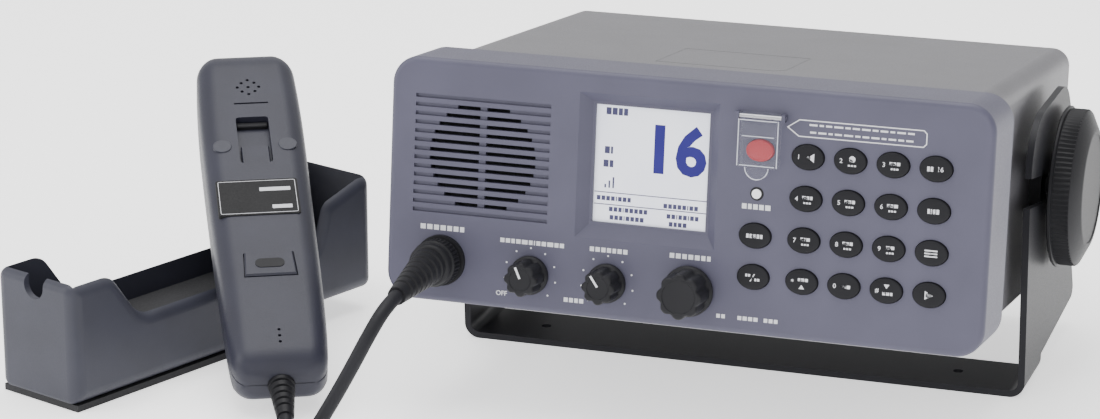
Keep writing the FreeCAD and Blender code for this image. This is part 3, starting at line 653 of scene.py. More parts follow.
for key_name, (cx, cz) in key_centres.items():
    cap = key_cap(key_name + "_cap", cx, cz, KEY_HALF_W, KEY_HALF_H, KEY_CROWN, key_rubber,
                  body_of_node[key_name])
    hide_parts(key_name)
print("keys", len(key_centres))

RED_X, RED_Z = 33.1, 28.2
RED_HALF_W, RED_HALF_H = 5.9, 4.6
RED_CROWN = [(1.0, 2.6), (1.0, -1.3), (0.97, -1.7), (0.9, -1.9), (0.85, -1.75), (0.8, -1.85),
             (0.5, -2.1), (0.2, -2.15)]
red_cap = key_cap("distress_cap", RED_X, RED_Z, RED_HALF_W, RED_HALF_H, RED_CROWN, red_rubber,
                  body_of_node["distress_key"])
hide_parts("distress_key")

# %% [markdown]
# The marks on the keys and the panel are printed in white ink, a few
# hundredths of a millimetre thick. A drawn mask in the material could show
# them, but real shapes stay sharp at any distance. So each group of marks is
# one thin mesh: flat shapes for bars and arrows, and the font's own outlines
# for the digits.

# %% White ink
ink_white = moulded("ink_white", (0.6, 0.6, 0.63), rough=0.5, cloud=0.04, grain_mm=0.3, grain_deep=0.005)
INK = 0.06
DIGIT_SHARE = 0.7


def ink_shape(shape, outline, y):
    """One flat printed shape, its outline given as (x, z) points."""
    front = ring_of(shape, [(x, y - INK, z) for x, z in outline])
    rear = ring_of(shape, [(x, y, z) for x, z in outline])
    shape.faces.new(front)
    shape.faces.new(list(reversed(rear)))
    for k in range(len(outline)):
        n = (k + 1) % len(outline)
        shape.faces.new((front[k], front[n], rear[n], rear[k]))


def ink_text(shape, text, cx, cz, height, y, weight=0.016):
    """Digits from the built-in font, centred on (cx, cz), thickened by weight."""
    letters = bpy.data.curves.new("digits", "FONT")
    letters.body = text
    letters.size = height / DIGIT_SHARE
    letters.offset = weight * height
    letters.align_x = "CENTER"
    letters.align_y = "CENTER"
    letters.extrude = INK / 2
    letters.resolution_u = 3
    holder = new_object("digits", letters)
    mesh = evaluated_mesh(holder)
    mesh.transform(Matrix(((1, 0, 0, cx), (0, 0, -1, y - INK / 2), (0, 1, 0, cz), (0, 0, 0, 1))))
    shape.from_mesh(mesh)
    bpy.data.objects.remove(holder)
    bpy.data.meshes.remove(mesh)


def bar(cx, cz, w, h):
    return [(cx - w / 2, cz - h / 2), (cx + w / 2, cz - h / 2),
            (cx + w / 2, cz + h / 2), (cx - w / 2, cz + h / 2)]


def dot(cx, cz, r, count=16):
    turns = [2 * math.pi * k / count for k in range(count)]
    return [(cx + r * math.cos(t), cz + r * math.sin(t)) for t in turns]


def slash(cx, cz, w, h, thick):
    return [(cx - w / 2, cz - h / 2), (cx - w / 2 + thick, cz - h / 2), (cx + w / 2, cz + h / 2),
            (cx + w / 2 - thick, cz + h / 2)]


def printed(name, outlines, texts, y, body, finish=ink_white):
    shape = bmesh.new()
    for outline in outlines:
        ink_shape(shape, outline, y)
    for text, cx, cz, height, *weight in texts:
        ink_text(shape, text, cx, cz, height, y, *weight)
    return radio_piece(shape, name, finish, body)


print("ink", INK, "mm thick")

# %% [markdown]
# Each key carries a small digit at its left and a few bars or an arrow at its
# right. The marks ride on the key, so they go down with it when it is pressed.
# They could follow the crown's curve, but the crown is so low that flat marks do.
# Their faces are level with its top, so in the very middle of a key the mark and
# the cap share one plane.

# %% Marks on the keys
TOP_Y = FACE_Y - 1.52
DIGIT_LEFT = 3.7
DIGIT_H = 1.9
UP_ARROW = [(-1.2, -0.9), (1.2, -0.9), (0.0, 0.9)]
DOWN_ARROW = [(-1.2, 0.9), (0.0, -0.9), (1.2, 0.9)]
ENTER_ARROW = [(-1.6, -1.8), (1.9, 0.0), (-1.6, 1.8)]
HORN = [(1.2, -0.7), (2.9, -1.9), (2.9, 1.9), (1.2, 0.7)]


def moved(outline, dx, dz):
    return [(x + dx, z + dz) for x, z in outline]


def word_bars(cx, cz, widths, h, gap=0.35):
    """A row of short bars, centred on (cx, cz)."""
    total = sum(widths) + gap * (len(widths) - 1)
    x = cx - total / 2
    row = []
    for w in widths:
        row.append(bar(x + w / 2, cz, w, h))
        x += w + gap
    return row


KEY_DIGITS = {"key_" + digit: digit for digit in "1234567890"}
KEY_DIGITS.update(key_star="*", key_hash="#")
BAR_WIDTHS = {"key_3": (1.3, 1.1, 1.4), "key_4": (1.5, 1.2, 1.0), "key_5": (1.2, 1.3, 1.2),
              "key_6": (1.1, 1.2, 1.6), "key_7": (1.1, 0.7, 1.5), "key_8": (1.3, 1.1, 1.3),
              "key_9": (1.5, 1.6), "key_0": (1.3, 0.5, 1.5), "key_star": (1.1, 1.3, 1.2),
              "key_hash": (1.2, 1.4, 1.0)}
for key_name, digit in KEY_DIGITS.items():
    cx, cz = key_centres[key_name]
    if key_name == "key_1":
        outlines = [bar(cx + 0.4, cz, 1.0, 1.4), moved(HORN, cx, cz)]
    elif key_name == "key_2":
        outlines = [dot(cx + 1.0, cz + 1.0, 1.35)]
        outlines += word_bars(cx + 1.0, cz - 1.7, (0.9, 0.9, 0.9), 0.7)
    elif key_name == "key_star":
        outlines = word_bars(cx + 0.8, cz + 1.1, BAR_WIDTHS[key_name], 1.3)
        outlines.append(moved(UP_ARROW, cx + 0.3, cz - 1.9))
    elif key_name == "key_hash":
        outlines = word_bars(cx + 0.8, cz - 1.1, BAR_WIDTHS[key_name], 1.3)
        outlines.append(moved(DOWN_ARROW, cx + 0.3, cz + 1.9))
    elif key_name == "key_0":
        outlines = word_bars(cx + 1.0, cz, BAR_WIDTHS[key_name], 1.4)
    else:
        outlines = word_bars(cx + 0.9, cz + 0.7, BAR_WIDTHS[key_name], 1.4)
        outlines += word_bars(cx + 0.9, cz - 1.5, (0.8, 0.8, 0.9), 0.75)
    digits = [(digit, cx - DIGIT_LEFT, cz, DIGIT_H)]
    printed(key_name + "_marks", outlines, digits, TOP_Y, body_of_node[key_name])
print("keys with a digit", len(KEY_DIGITS))

# %% [markdown]
# The other six keys carry one sign each. A sign is a small recipe that needs
# only the middle of its key, so the recipes stand side by side in a table, and
# one loop prints them.

# %% Signs on the other keys
SIGNS = {
    "key_file": lambda x, z: word_bars(x, z, (1.0, 0.6, 1.0, 1.2), 2.0),
    "key_menu": lambda x, z: [bar(x, z + dz, 5.4, 0.6) for dz in (1.2, 0, -1.2)],
    "key_enter": lambda x, z: [moved(ENTER_ARROW, x, z)],
    "key_cancel": lambda x, z: word_bars(x, z, (1.1, 1.2, 1.1, 1.2, 1.0), 1.7),
    "key_call": lambda x, z: ([slash(x, z - 0.1, 2.2, 3.2, 0.5)]
                              + word_bars(x - 2.0, z + 0.8, (0.9, 0.9), 1.1)
                              + word_bars(x + 2.0, z - 0.9, (0.9, 0.9), 1.1)),
}
for key_name, sign in SIGNS.items():
    cx, cz = key_centres[key_name]
    printed(key_name + "_marks", sign(cx, cz), [], TOP_Y, body_of_node[key_name])

cx, cz = key_centres["key_channel"]
printed("key_channel_marks", word_bars(cx - 2.3, cz, (1.1, 1.1), 2.0), [("16", cx + 1.9, cz, 2.0)],
        TOP_Y, body_of_node["key_channel"])
print("marked keys", len(KEY_DIGITS) + len(SIGNS) + 1)

# %% [markdown]
# Framed marks need a line of even width along an outline. Scaling the outline
# down would make the line wider at the far ends. So each corner is moved along
# the line that halves its angle, and the band between the two outlines is
# filled with four-sided shapes.

# %% Bands and rounded outlines
def inset(outline, width):
    """The outline moved inwards, each corner along the halving line of its angle."""
    count = len(outline)
    moved_in = []
    for k in range(count):
        here = Vector(outline[k])
        before = (here - Vector(outline[k - 1])).normalized()
        after = (Vector(outline[(k + 1) % count]) - here).normalized()
        normal = Vector((-(before + after).y, (before + after).x)).normalized()
        share = max(0.3, normal.dot(Vector((-after.y, after.x))))
        moved_in.append(tuple(here + normal * (width / share)))
    return moved_in


def band(outline, width):
    """Quads between an outline and its inset, run anticlockwise."""
    inner = inset(outline, width)
    count = len(outline)
    return [[outline[k], outline[(k + 1) % count], inner[(k + 1) % count], inner[k]]
            for k in range(count)]


def rounded_rect(cx, cz, w, h, r, count=6):
    outline = []
    for sx, sz, start in ((1, 1, 0), (-1, 1, 90), (-1, -1, 180), (1, -1, 270)):
        for k in range(count + 1):
            turn = math.radians(start + 90 * k / count)
            outline.append((cx + sx * (w / 2 - r) + r * math.cos(turn),
                            cz + sz * (h / 2 - r) + r * math.sin(turn)))
    return outline


print("points in a rounded outline", len(rounded_rect(0, 0, 10, 10, 1)))

# %% [markdown]
# The panel's marks are rows of short bars, dots round the two dials, and the
# long arrow-shaped frame over the keys. They lie on the face, so a thin shape a
# few hundredths proud of it is enough. One table holds the rows, each with its
# middle, its bars' widths, their height and the gap between them.

# %% Marks on the panel
DIAL_Z = -34.5
VOLUME_X = -65.6
SQUELCH_X = -31.1
DIAL_R = 11.6
DIAL_DOT_R = 0.42



def dial_dots(cx, cz, radius, start, end, count):
    """Dots round a dial, from start to end in degrees clockwise from six o'clock."""
    outlines = []
    for k in range(count):
        turn = math.radians(-90 - (start + (end - start) * k / (count - 1)))
        place = (cx + radius * math.cos(turn), cz + radius * math.sin(turn))
        outlines.append(dot(*place, DIAL_DOT_R, 10))
    return outlines


PANEL_ROWS = [
    (-106.0, -18.0, (2.3, 2.4, 2.3, 2.4, 2.2, 2.2, 1.9), 2.2, 0.7),
    (-65.2, -20.6, (1.9, 2.0, 1.6, 2.0, 2.6, 1.7, 0.6, 1.8, 2.0, 2.7, 1.8, 1.9), 1.9, 0.55),
    (-31.0, -20.5, (1.9, 2.0, 1.9, 1.9, 1.6, 1.9, 1.9), 2.0, 0.6),
    (4.9, -19.8, (2.0, 2.1, 2.0, 2.1, 2.1, 1.8, 1.6), 2.1, 0.7),
    (-45.7, -43.6, (1.8, 1.8, 1.6, 1.9), 1.9, 0.55),
    (31.0, -43.5, (1.7, 1.8, 1.8, 1.8), 1.7, 0.55),
    (19.3, -43.5, (1.6, 1.6), 1.7, 0.55),
    (41.0, -43.5, (1.6, 1.7, 1.6), 1.7, 0.55),
    (32.4, 4.2, (2.0, 1.6, 2.0, 2.0, 2.3), 2.2, 0.6),
]
FRAME_ROWS = [
    (75.5, 40.6, (3.4, 1.8, 2.6, 3.8, 2.2, 3.0, 3.6, 2.4, 3.2, 2.0, 3.6, 2.8), 0.8, 0.9),
    (75.5, 37.5, (2.6, 3.4, 1.8, 3.0, 3.8, 2.2, 2.8, 3.4, 2.0, 3.2, 2.4, 3.0), 0.8, 0.9),
]
ARROW_BOX = [(43.8, 39.0), (49.0, 35.3), (101.6, 35.3), (103.0, 36.7), (103.0, 41.2), (101.6, 42.6),
             (49.0, 42.6)]
ARROW_LINE = 0.45

panel_marks = []
for row in PANEL_ROWS:
    panel_marks += word_bars(*row)
for cx in (VOLUME_X, SQUELCH_X):
    panel_marks += dial_dots(cx, DIAL_Z, DIAL_R, 45, 315, 9)
panel_marks += band(ARROW_BOX, ARROW_LINE)
for row in FRAME_ROWS:
    panel_marks += word_bars(*row)
printed("panel_marks", panel_marks, [("OFF", -78.2, -43.8, 2.0)], FACE_Y, RADIO)
print("marks on the panel", len(panel_marks))

# %% [markdown]
# The display is a pane of liquid crystal, lit from behind: a pale field with a
# faint grid of cells, and dark violet figures. A glossy coat on the field
# stands for the window over it, which is how a pane this thin looks. The light
# behind it is a little emission, kept low so that the room still shades it.

# %% Finishes of the display
CELL_SCALE = 2600.0
BACKLIGHT = 0.22


def lit_field():
    material, nodes, links, shader = finish_nodes("lit_field")
    place = nodes.new("ShaderNodeTexCoord").outputs["Object"]
    cloud = noise(nodes, links, 30.0, 2.0, place)
    share = spread(nodes, links, cloud, 0.0, 1.0)
    tone = mixed(nodes, links, share, (0.74, 0.76, 0.86), (0.84, 0.86, 0.93))
    links.new(tone, shader.inputs["Base Color"])
    cells = nodes.new("ShaderNodeTexChecker")
    cells.inputs["Scale"].default_value = CELL_SCALE
    links.new(place, cells.inputs["Vector"])
    links.new(bump(nodes, links, cells.outputs[1], 0.004), shader.inputs["Normal"])
    shader.inputs["Roughness"].default_value = 0.16
    shader.inputs["Emission Color"].default_value = (0.8, 0.84, 1.0, 1)
    shader.inputs["Emission Strength"].default_value = BACKLIGHT
    shader.inputs["Coat Weight"].default_value = 0.5
    shader.inputs["Coat Roughness"].default_value = 0.04
    return material


lcd_field = lit_field()
lcd_violet = moulded("lcd_violet", (0.028, 0.024, 0.16),
                     rough=0.4, cloud=0.1, grain_mm=0.4, grain_deep=0.003, shine=0.1)
lcd_dark = moulded("lcd_dark", (0.06, 0.058, 0.12),
                   rough=0.4, cloud=0.1, grain_mm=0.4, grain_deep=0.003, shine=0.1)
print("materials so far", len(bpy.data.materials))

# %% [markdown]
# The pane is a flat slab a little larger than the opening in front of it, so
# that no gap shows round it, and its front edge is bevelled. A plane would look
# the same from the front, but it would be a face with no body to it.

# %% The display's pane
SCREEN_X, SCREEN_Z, SCREEN_W, SCREEN_H = -15.2, 15.8, 50.1, 50.4
PANE_Y = FACE_Y + 5.0
PANE_MARGIN = 1.9
PANE_BEVEL = 0.2
pane_w = SCREEN_W + 2 * PANE_MARGIN
pane_h = SCREEN_H + 2 * PANE_MARGIN

shape = bmesh.new()
outline = rounded_rect(SCREEN_X, SCREEN_Z, pane_w, pane_h, 1.5)
edge = rounded_rect(SCREEN_X, SCREEN_Z, pane_w - 2 * PANE_BEVEL, pane_h - 2 * PANE_BEVEL, 1.3)
rings = [ring_of(shape, [(x, PANE_Y + 1.5, z) for x, z in outline]),
         ring_of(shape, [(x, PANE_Y + 0.25, z) for x, z in outline]),
         ring_of(shape, [(x, PANE_Y + 0.02, z) for x, z in edge])]
bridge(shape, rings)
pane = radio_piece(shape, "display_pane", lcd_field, RADIO)
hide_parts("display_window")
print("pane", round(pane_w, 1), "by", round(pane_h, 1), "mm")

# %% [markdown]
# The figures and the status rows are placed by their share of the screen's
# width and height, counted from its top left corner, as a display's own layout
# is. The large channel number is a little bolder than the digits on the keys.

# %% Figures on the display
def on_screen(u, v):
    """A place on the screen, from its left edge and top edge as shares."""
    return SCREEN_X - SCREEN_W / 2 + u * SCREEN_W, SCREEN_Z + SCREEN_H / 2 - v * SCREEN_H


CHANNEL_H = 19.5
CHANNEL_WEIGHT = 0.045
TALL, SHORT = 3.0, 1.9
STATUS_ROWS = [
    (0.15, 0.055, (2.2, 2.2, 1.8, 1.8), TALL),
    (0.09, 0.385, (2.2, 0.9), TALL),
    (0.09, 0.50, (2.2, 1.6), TALL),
    (0.15, 0.795, (1.6, 1.6, 1.6, 1.6, 0.5, 1.6, 1.6, 1.4), SHORT),
    (0.74, 0.815, (1.6, 1.6, 1.5, 1.6, 1.6, 0.5, 1.6, 1.6), SHORT),
    (0.28, 0.885, (1.6, 1.6, 1.4, 0.4, 1.6, 1.6, 1.6, 1.6, 1.5), SHORT),
    (0.76, 0.9, (1.6, 1.6, 0.5, 1.5, 1.6, 0.5, 1.6, 1.5), SHORT),
    (0.27, 0.955, (1.6, 1.6, 1.5, 0.4, 1.6, 1.6, 1.6, 1.6), SHORT),
    (0.72, 0.965, (1.6, 1.4, 1.6, 1.6), SHORT),
]
ROW_SHIFT = 0.03
LINE_HEIGHTS = (0.745, 0.848)

x, z = on_screen(0.7, 0.365)
channel = [("16", x, z, CHANNEL_H, CHANNEL_WEIGHT)]
printed("channel_figures", [], channel, PANE_Y, RADIO, lcd_violet)

status = []
for u, v, widths, h in STATUS_ROWS:
    x, z = on_screen(u + ROW_SHIFT, v)
    status += word_bars(x, z, widths, h, 0.5)
for v in LINE_HEIGHTS:
    x, z = on_screen(0.5, v)
    status.append(bar(x, z, SCREEN_W - 0.6, 0.35))
for k in range(3):
    x, z = on_screen(0.1 + 0.035 * k, 0.705)
    status.append(bar(x, z + 0.7 + 0.8 * k, 0.7, 1.5 + 1.6 * k))
printed("status_marks", status, [], PANE_Y, RADIO, lcd_dark)
print("marks on the display", len(status))

# %% [markdown]
# The knobs are fluted: a round skirt, and in front of it a grip with shallow
# hollows for the fingers. The hollows could be cut out with cylinders. It is
# neater to let the radius dip as it goes round, because the dips can then fade
# out towards the skirt and the front edge, as they do on a moulded knob.

# %% Fluted rings, stacked
def fluted_ring(cx, cz, r, dip, y, count=128, flutes=8):
    places = []
    for k in range(count):
        turn = 2 * math.pi * k / count
        wave = 0.5 + 0.5 * math.cos(flutes * turn)
        radius = r - dip * (1 - wave) ** 1.6
        places.append((cx + radius * math.cos(turn), y, cz + radius * math.sin(turn)))
    return places


def fluted_knob(name, cx, cz, r, length, dip, body, node, gap=0.6):
    """A knob that stands gap clear of the panel. Gives back where its front is."""
    rear = FACE_Y - gap
    front = rear - length
    profile = [(r, 0, rear), (r, 0, rear - 1.6), (r - 0.4, 0, rear - 2.1), (r - 0.9, 0.0, rear - 2.4),
               (r - 0.8, dip * 0.8, rear - 3.2), (r - 0.75, dip, rear - 4.0),
               (r - 0.95, dip, front + 1.6), (r - 1.15, dip, front + 0.7),
               (r - 1.6, dip * 0.9, front + 0.2), (r - 2.2, dip * 0.7, front),
               (r - 3.4, 0.15, front), (r - 3.8, 0.0, front + 0.35), (r * 0.3, 0, front + 0.45)]
    shape = bmesh.new()
    rings = [ring_of(shape, fluted_ring(cx, cz, ring_r, d, y)) for ring_r, d, y in profile]
    bridge(shape, rings)
    knob = radio_piece(shape, name, black_plastic, body)
    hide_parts(node)
    return front


print("points in a fluted ring", len(fluted_ring(0, 0, 8, 1, 0)))

# %% [markdown]
# Volume and squelch are the same small knob twice, and the channel knob is a
# larger one that stands farther out, since it can also be pushed in. The white
# pointers lie on the front of the small knobs and turn with them.

# %% Three knobs and two pointers
SMALL_R, SMALL_LENGTH, SMALL_DIP = 8.4, 13.0, 1.1
LARGE_R, LARGE_LENGTH, LARGE_DIP = 10.8, 15.0, 1.3
CHANNEL_X, CHANNEL_Z = 5.3, -33.9
PUSH_GAP = 1.9
POINTERS = {"volume": [(-66.1, -34.0), (-65.2, -33.7), (-67.4, -28.9), (-68.3, -29.3)],
            "squelch": [(-31.6, -34.2), (-30.8, -33.7), (-34.0, -29.2), (-34.8, -29.7)]}
for use, cx in (("volume", VOLUME_X), ("squelch", SQUELCH_X)):
    node = use + "_knob"
    front_y = fluted_knob(node + "_grip", cx, DIAL_Z, SMALL_R, SMALL_LENGTH, SMALL_DIP,
                          body_of_node[node], node)
    printed(use + "_pointer", [POINTERS[use]], [], front_y + 0.02, body_of_node[node])
front_y = fluted_knob("channel_knob_grip", CHANNEL_X, CHANNEL_Z, LARGE_R, LARGE_LENGTH, LARGE_DIP,
                      body_of_node["channel_knob"], "channel_knob", gap=PUSH_GAP)
print("channel knob's front at", round(front_y, 1), "mm")

# %% [markdown]
# The two clamp knobs on the sides are large discs with a finely knurled rim and
# a wide bevel. The knurl is real shape, one small tooth after another, because
# it breaks up the rim's outline as well as its light.

# %% Clamp knobs
ARM_OUTER_X = 130.6
ARM_GAP = 0.8
STUD_R = 4.0
STUD_REACH = 23.0
KNURL_TEETH = 96


def clamp_disc(side):
    """The stud, the flange, the knurled grip and the bevelled face, from the arm outwards."""
    node = "clamp_knob_right" if side > 0 else "clamp_knob_left"
    hub_x = ARM_OUTER_X + ARM_GAP
    flange_x = hub_x + 2.4
    grip_x = flange_x + 1.8
    face_x = grip_x + 8.0
    outer_x = face_x + 4.0
    profile = [(STUD_R, 0, hub_x - STUD_REACH), (STUD_R, 0, hub_x), (14.0, 0, hub_x),
               (14.0, 0, flange_x), (35.4, 0, flange_x), (36.0, 0, flange_x + 0.5),
               (36.0, 0, grip_x - 0.4), (35.4, 0, grip_x), (34.6, 0.0, grip_x + 0.1),
               (35.0, 0.8, grip_x + 0.6), (35.0, 0.8, face_x - 0.9), (34.7, 0.2, face_x - 0.4),
               (34.2, 0.0, face_x), (26.6, 0, outer_x - 0.25), (25.8, 0, outer_x),
               (24.6, 0, outer_x), (24.1, 0, outer_x - 0.5), (12.0, 0, outer_x - 0.6),
               (STUD_R, 0, outer_x - 0.6)]
    shape = bmesh.new()
    rings = []
    for r, cut, x in profile:
        places = []
        for k in range(2 * KNURL_TEETH):
            turn = math.pi * k / KNURL_TEETH
            radius = r - (cut if k % 2 else 0.0)
            places.append((side * x, radius * math.cos(turn), radius * math.sin(turn)))
        rings.append(ring_of(shape, places))
    bridge(shape, rings)
    disc = radio_piece(shape, node + "_disc", black_plastic, body_of_node[node])
    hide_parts(node)


for side in (-1, 1):
    clamp_disc(side)
print("teeth on each clamp knob", KNURL_TEETH)

# %% [markdown]
# The handset rests on its cradle with its earpiece end tipped up. It is drawn
# lying flat, with s running from its foot to its earpiece, and then turned and
# tipped by one matrix. Its width and thickness change gently along its length, so
# a few sections are enough, with a smooth curve run through them. Straight
# lines between the sections would show as creases across the shell.

# %% Sections of the handset
HANDSET_PLACE = Vector((-169.0, -143.0, 15.0)) * MM
HANDSET_TURN = math.radians(27.8)
HANDSET_LEAN = math.radians(24.7)
HANDSET_FRAME = (Matrix.Translation(HANDSET_PLACE)
                 @ Matrix.Rotation(HANDSET_TURN, 4, "Z") @ Matrix.Rotation(HANDSET_LEAN, 4, "X")
                 @ Matrix.Diagonal((MM, MM, MM, 1.0)))
# Each section: s, width, height of the face, depth of the back, corner radius.
SECTIONS = [(0.0, 34.0, 7.0, 9.0, 6.0), (9.0, 42.0, 12.5, 13.7, 8.0),
            (40.0, 45.0, 14.0, 15.0, 9.0), (98.0, 47.0, 12.5, 19.0, 9.0),
            (158.0, 48.0, 13.5, 19.5, 9.0), (200.0, 46.0, 14.0, 16.0, 9.0),
            (215.0, 36.0, 8.0, 8.0, 6.0)]
END_SLOPE = 1.5


def slope_at(k, column):
    """The mean slope through section k, which keeps the curve from overshooting."""
    if k in (0, len(SECTIONS) - 1):
        return None
    before = (SECTIONS[k][column] - SECTIONS[k - 1][column]) / (SECTIONS[k][0] - SECTIONS[k - 1][0])
    after = (SECTIONS[k + 1][column] - SECTIONS[k][column]) / (SECTIONS[k + 1][0] - SECTIONS[k][0])
    if before * after <= 0:
        return 0.0
    return 2 * before * after / (before + after)


def section_at(s):
    """Width, top, depth and corner radius at s, by a smooth curve through the sections."""
    k = max(i for i in range(len(SECTIONS) - 1) if SECTIONS[i][0] <= s + 1e-9)
    step = SECTIONS[k + 1][0] - SECTIONS[k][0]
    t = (s - SECTIONS[k][0]) / step
    values = []
    for column in range(1, 5):
        a = SECTIONS[k][column]
        b = SECTIONS[k + 1][column]
        chord = (b - a) / step
        start = slope_at(k, column)
        end = slope_at(k + 1, column)
        start = chord * END_SLOPE if start is None else start
        end = chord * END_SLOPE if end is None else end
        values.append(a * (2 * t ** 3 - 3 * t ** 2 + 1) + b * (3 * t ** 2 - 2 * t ** 3)
                      + step * (start * (t ** 3 - 2 * t ** 2 + t) + end * (t ** 3 - t ** 2)))
    return values


def face_height(s):
    return section_at(s)[1]


print("handset", SECTIONS[-1][0], "mm long, and", round(section_at(120.0)[0], 1), "mm wide in its grip")

# %% [markdown]
# The shell is two moulded halves that meet in a fine groove round its edge. The
# groove could be cut afterwards, but four points more in each side of a ring
# make it as the shell is made. Towards both ends the rings shrink quickly,
# which rounds the ends off.

# %% Handset shell
GROOVE_HALF = 0.45
GROOVE_FLOOR = 0.2
GROOVE_DEEP = 0.55


def handset_ring(s, shrink, count=9):
    """Rounded section with the parting groove in both of its sides."""
    w, top, under, r = section_at(s)
    half = w / 2 - shrink
    top -= shrink
    under -= shrink
    r = max(2.0, r - shrink * 0.5)
    places = []
    corners = ((1, 1, top, 0), (-1, 1, top, 90), (-1, -1, under, 180), (1, -1, under, 270))
    for sx, sz, high, start in corners:
        arc = []
        for k in range(count):
            turn = math.radians(start + 90 * k / (count - 1))
            arc.append((sx * (half - r) + r * math.cos(turn), s, sz * (high - r) + r * math.sin(turn)))
        if sx < 0 and sz < 0:
            places += [(-half, s, GROOVE_HALF), (-half + GROOVE_DEEP, s, GROOVE_FLOOR),
                       (-half + GROOVE_DEEP, s, -GROOVE_FLOOR), (-half, s, -GROOVE_HALF)]
        places += arc
        if sx > 0 and sz < 0:
            places += [(half, s, -GROOVE_HALF), (half - GROOVE_DEEP, s, -GROOVE_FLOOR),
                       (half - GROOVE_DEEP, s, GROOVE_FLOOR), (half, s, GROOVE_HALF)]
    return places


SHELL_STEP = 3.0
stations = [(0.0, 2.6), (0.5, 1.2), (1.6, 0.4), (3.2, 0.0)]
stations += [(4.5 + SHELL_STEP * k, 0.0) for k in range(69)]
stations += [(211.4, 0.15), (213.2, 0.7), (214.4, 1.6), (215.0, 3.0)]
shape = bmesh.new()
rings = [ring_of(shape, handset_ring(s, shrink)) for s, shrink in stations]
bridge(shape, rings)
shape.transform(HANDSET_FRAME)
handset_shell = piece_from(shape, "handset_shell", handset_grey)
print("rings in the handset", len(stations))

# %% [markdown]
# The small openings, the hook recess, the groove under the earpiece and the
# hole for the talk button are cut out of the shell. Modelling them into its
# rings would need points that follow every hole. A Boolean modifier needs only
# the blocks to take away, and it leaves the crisp rim that a real opening has.
# It is applied at once, so that the piece is a plain mesh again.

# %% Cuts in the handset
CUT_SHARP_DEGREES = 32
ABOVE_SHELL = 20.0


def cut_out(piece, cutters):
    """Takes the cutters, one bmesh, out of the piece."""
    bmesh.ops.recalc_face_normals(cutters, faces=cutters.faces)
    data = bpy.data.meshes.new("cutters")
    cutters.to_mesh(data)
    cutters.free()
    tool = new_object("cutters", data)
    cut = piece.modifiers.new("cut", "BOOLEAN")
    cut.operation = "DIFFERENCE"
    cut.solver = "EXACT"
    cut.object = tool
    bpy.context.view_layer.update()
    read = evaluated_mesh(piece)
    piece.modifiers.clear()
    old = piece.data
    piece.data = read
    bpy.data.meshes.remove(old)
    bpy.data.objects.remove(tool)
    piece.data.shade_smooth()
    piece.data.set_sharp_from_angle(angle=math.radians(CUT_SHARP_DEGREES))
    print(piece.name, "faces after cutting", len(piece.data.polygons))


def prism(shape, outline, low, high):
    """An upright block, its outline given as (x, y) points."""
    bridge(shape, [ring_of(shape, [(x, y, low) for x, y in outline]),
                   ring_of(shape, [(x, y, high) for x, y in outline])])


EARPIECE_S = 184.5
EARPIECE_HOLES = ((0, 0), (-5, 0), (5, 0), (0, 5), (0, -5), (-3, 3), (3, 3), (-3, -3), (3, -3))
MICROPHONE_HOLES = (13.5, 17.0, 20.5)
HOLE_DEEP = 3.0
RECESS_S = 147.0
RECESS_DEEP = 4.2
TALK_HOLE = [(-12.0, 54.0), (12.0, 54.0), (11.2, 70.3), (-11.2, 70.3)]

cutters = bmesh.new()
for dx, ds in EARPIECE_HOLES:
    prism(cutters, dot(dx, EARPIECE_S + ds, 0.8, 12), face_height(184.0) - HOLE_DEEP, ABOVE_SHELL)
for s in MICROPHONE_HOLES:
    prism(cutters, dot(0.5, s, 0.75, 12), face_height(s) - HOLE_DEEP, ABOVE_SHELL)
recess_floor = face_height(RECESS_S) - RECESS_DEEP
prism(cutters, rounded_rect(0.0, 147.5, 15.0, 31.5, 1.6), recess_floor, ABOVE_SHELL)
prism(cutters, rounded_rect(0.5, 173.0, 16.0, 1.0, 0.45), face_height(173.0) - 0.7, ABOVE_SHELL)
prism(cutters, TALK_HOLE, face_height(62.0) - 2.5, ABOVE_SHELL)
cutters.transform(HANDSET_FRAME)
cut_out(handset_shell, cutters)
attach(handset_shell, "handset")
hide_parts("handset_inner_shell", "handset_outer_shell")

# %% [markdown]
# Small parts finish the handset's face: the step and the lip inside the hook
# recess, a round plug on each side of it, a dark plate, and the talk button.
# Each could be a bump in the shell, but then it could have no edge and no
# finish of its own. So each is its own piece, pushed a little way into the
# shell, so that no edge floats.

# %% Parts on the handset
def handset_piece(shape, name, finish, body):
    shape.transform(HANDSET_FRAME)
    made = piece_from(shape, name, finish)
    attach(made, body)
    return made


def handset_block(name, outline, low, high, edge, finish, body="handset"):
    """A plate with a bevelled upper edge, its outline given as (x, s)."""
    smaller = inset(outline, edge)
    shape = bmesh.new()
    rings = [ring_of(shape, [(x, s, low) for x, s in outline]),
             ring_of(shape, [(x, s, high - edge) for x, s in outline]),
             ring_of(shape, [(x, s, high) for x, s in smaller])]
    bridge(shape, rings)
    return handset_piece(shape, name, finish, body)


PLUG_SIDE, PLUG_S, PLUG_R = 15.0, 143.5, 4.3
sunk = recess_floor - 0.4
step_outline = rounded_rect(0.0, 139.0, 13.0, 12.5, 0.8)
handset_block("hook_step", step_outline, sunk, recess_floor + 2.4, 0.5, handset_grey)
lip_outline = rounded_rect(0.0, 160.8, 14.4, 3.0, 0.6)
handset_block("hook_lip", lip_outline, sunk, recess_floor + 2.0, 0.4, black_plastic)
for plug_name, side in (("screw_plug_left", -1), ("screw_plug_right", 1)):
    plug_outline = dot(side * PLUG_SIDE, PLUG_S, PLUG_R, 28)
    handset_block(plug_name, plug_outline, face_height(PLUG_S) - 1.0, face_height(PLUG_S) + 0.35,
                  0.25, cradle_grey)
print("recess", RECESS_DEEP, "mm deep")

# %% [markdown]
# The dark plate is bare but for a thin line round it and two pale strips. Paint
# in the material would need a map of the plate. Shapes that stand a few
# hundredths of a millimetre proud of it, like the ink on the panel, need none.

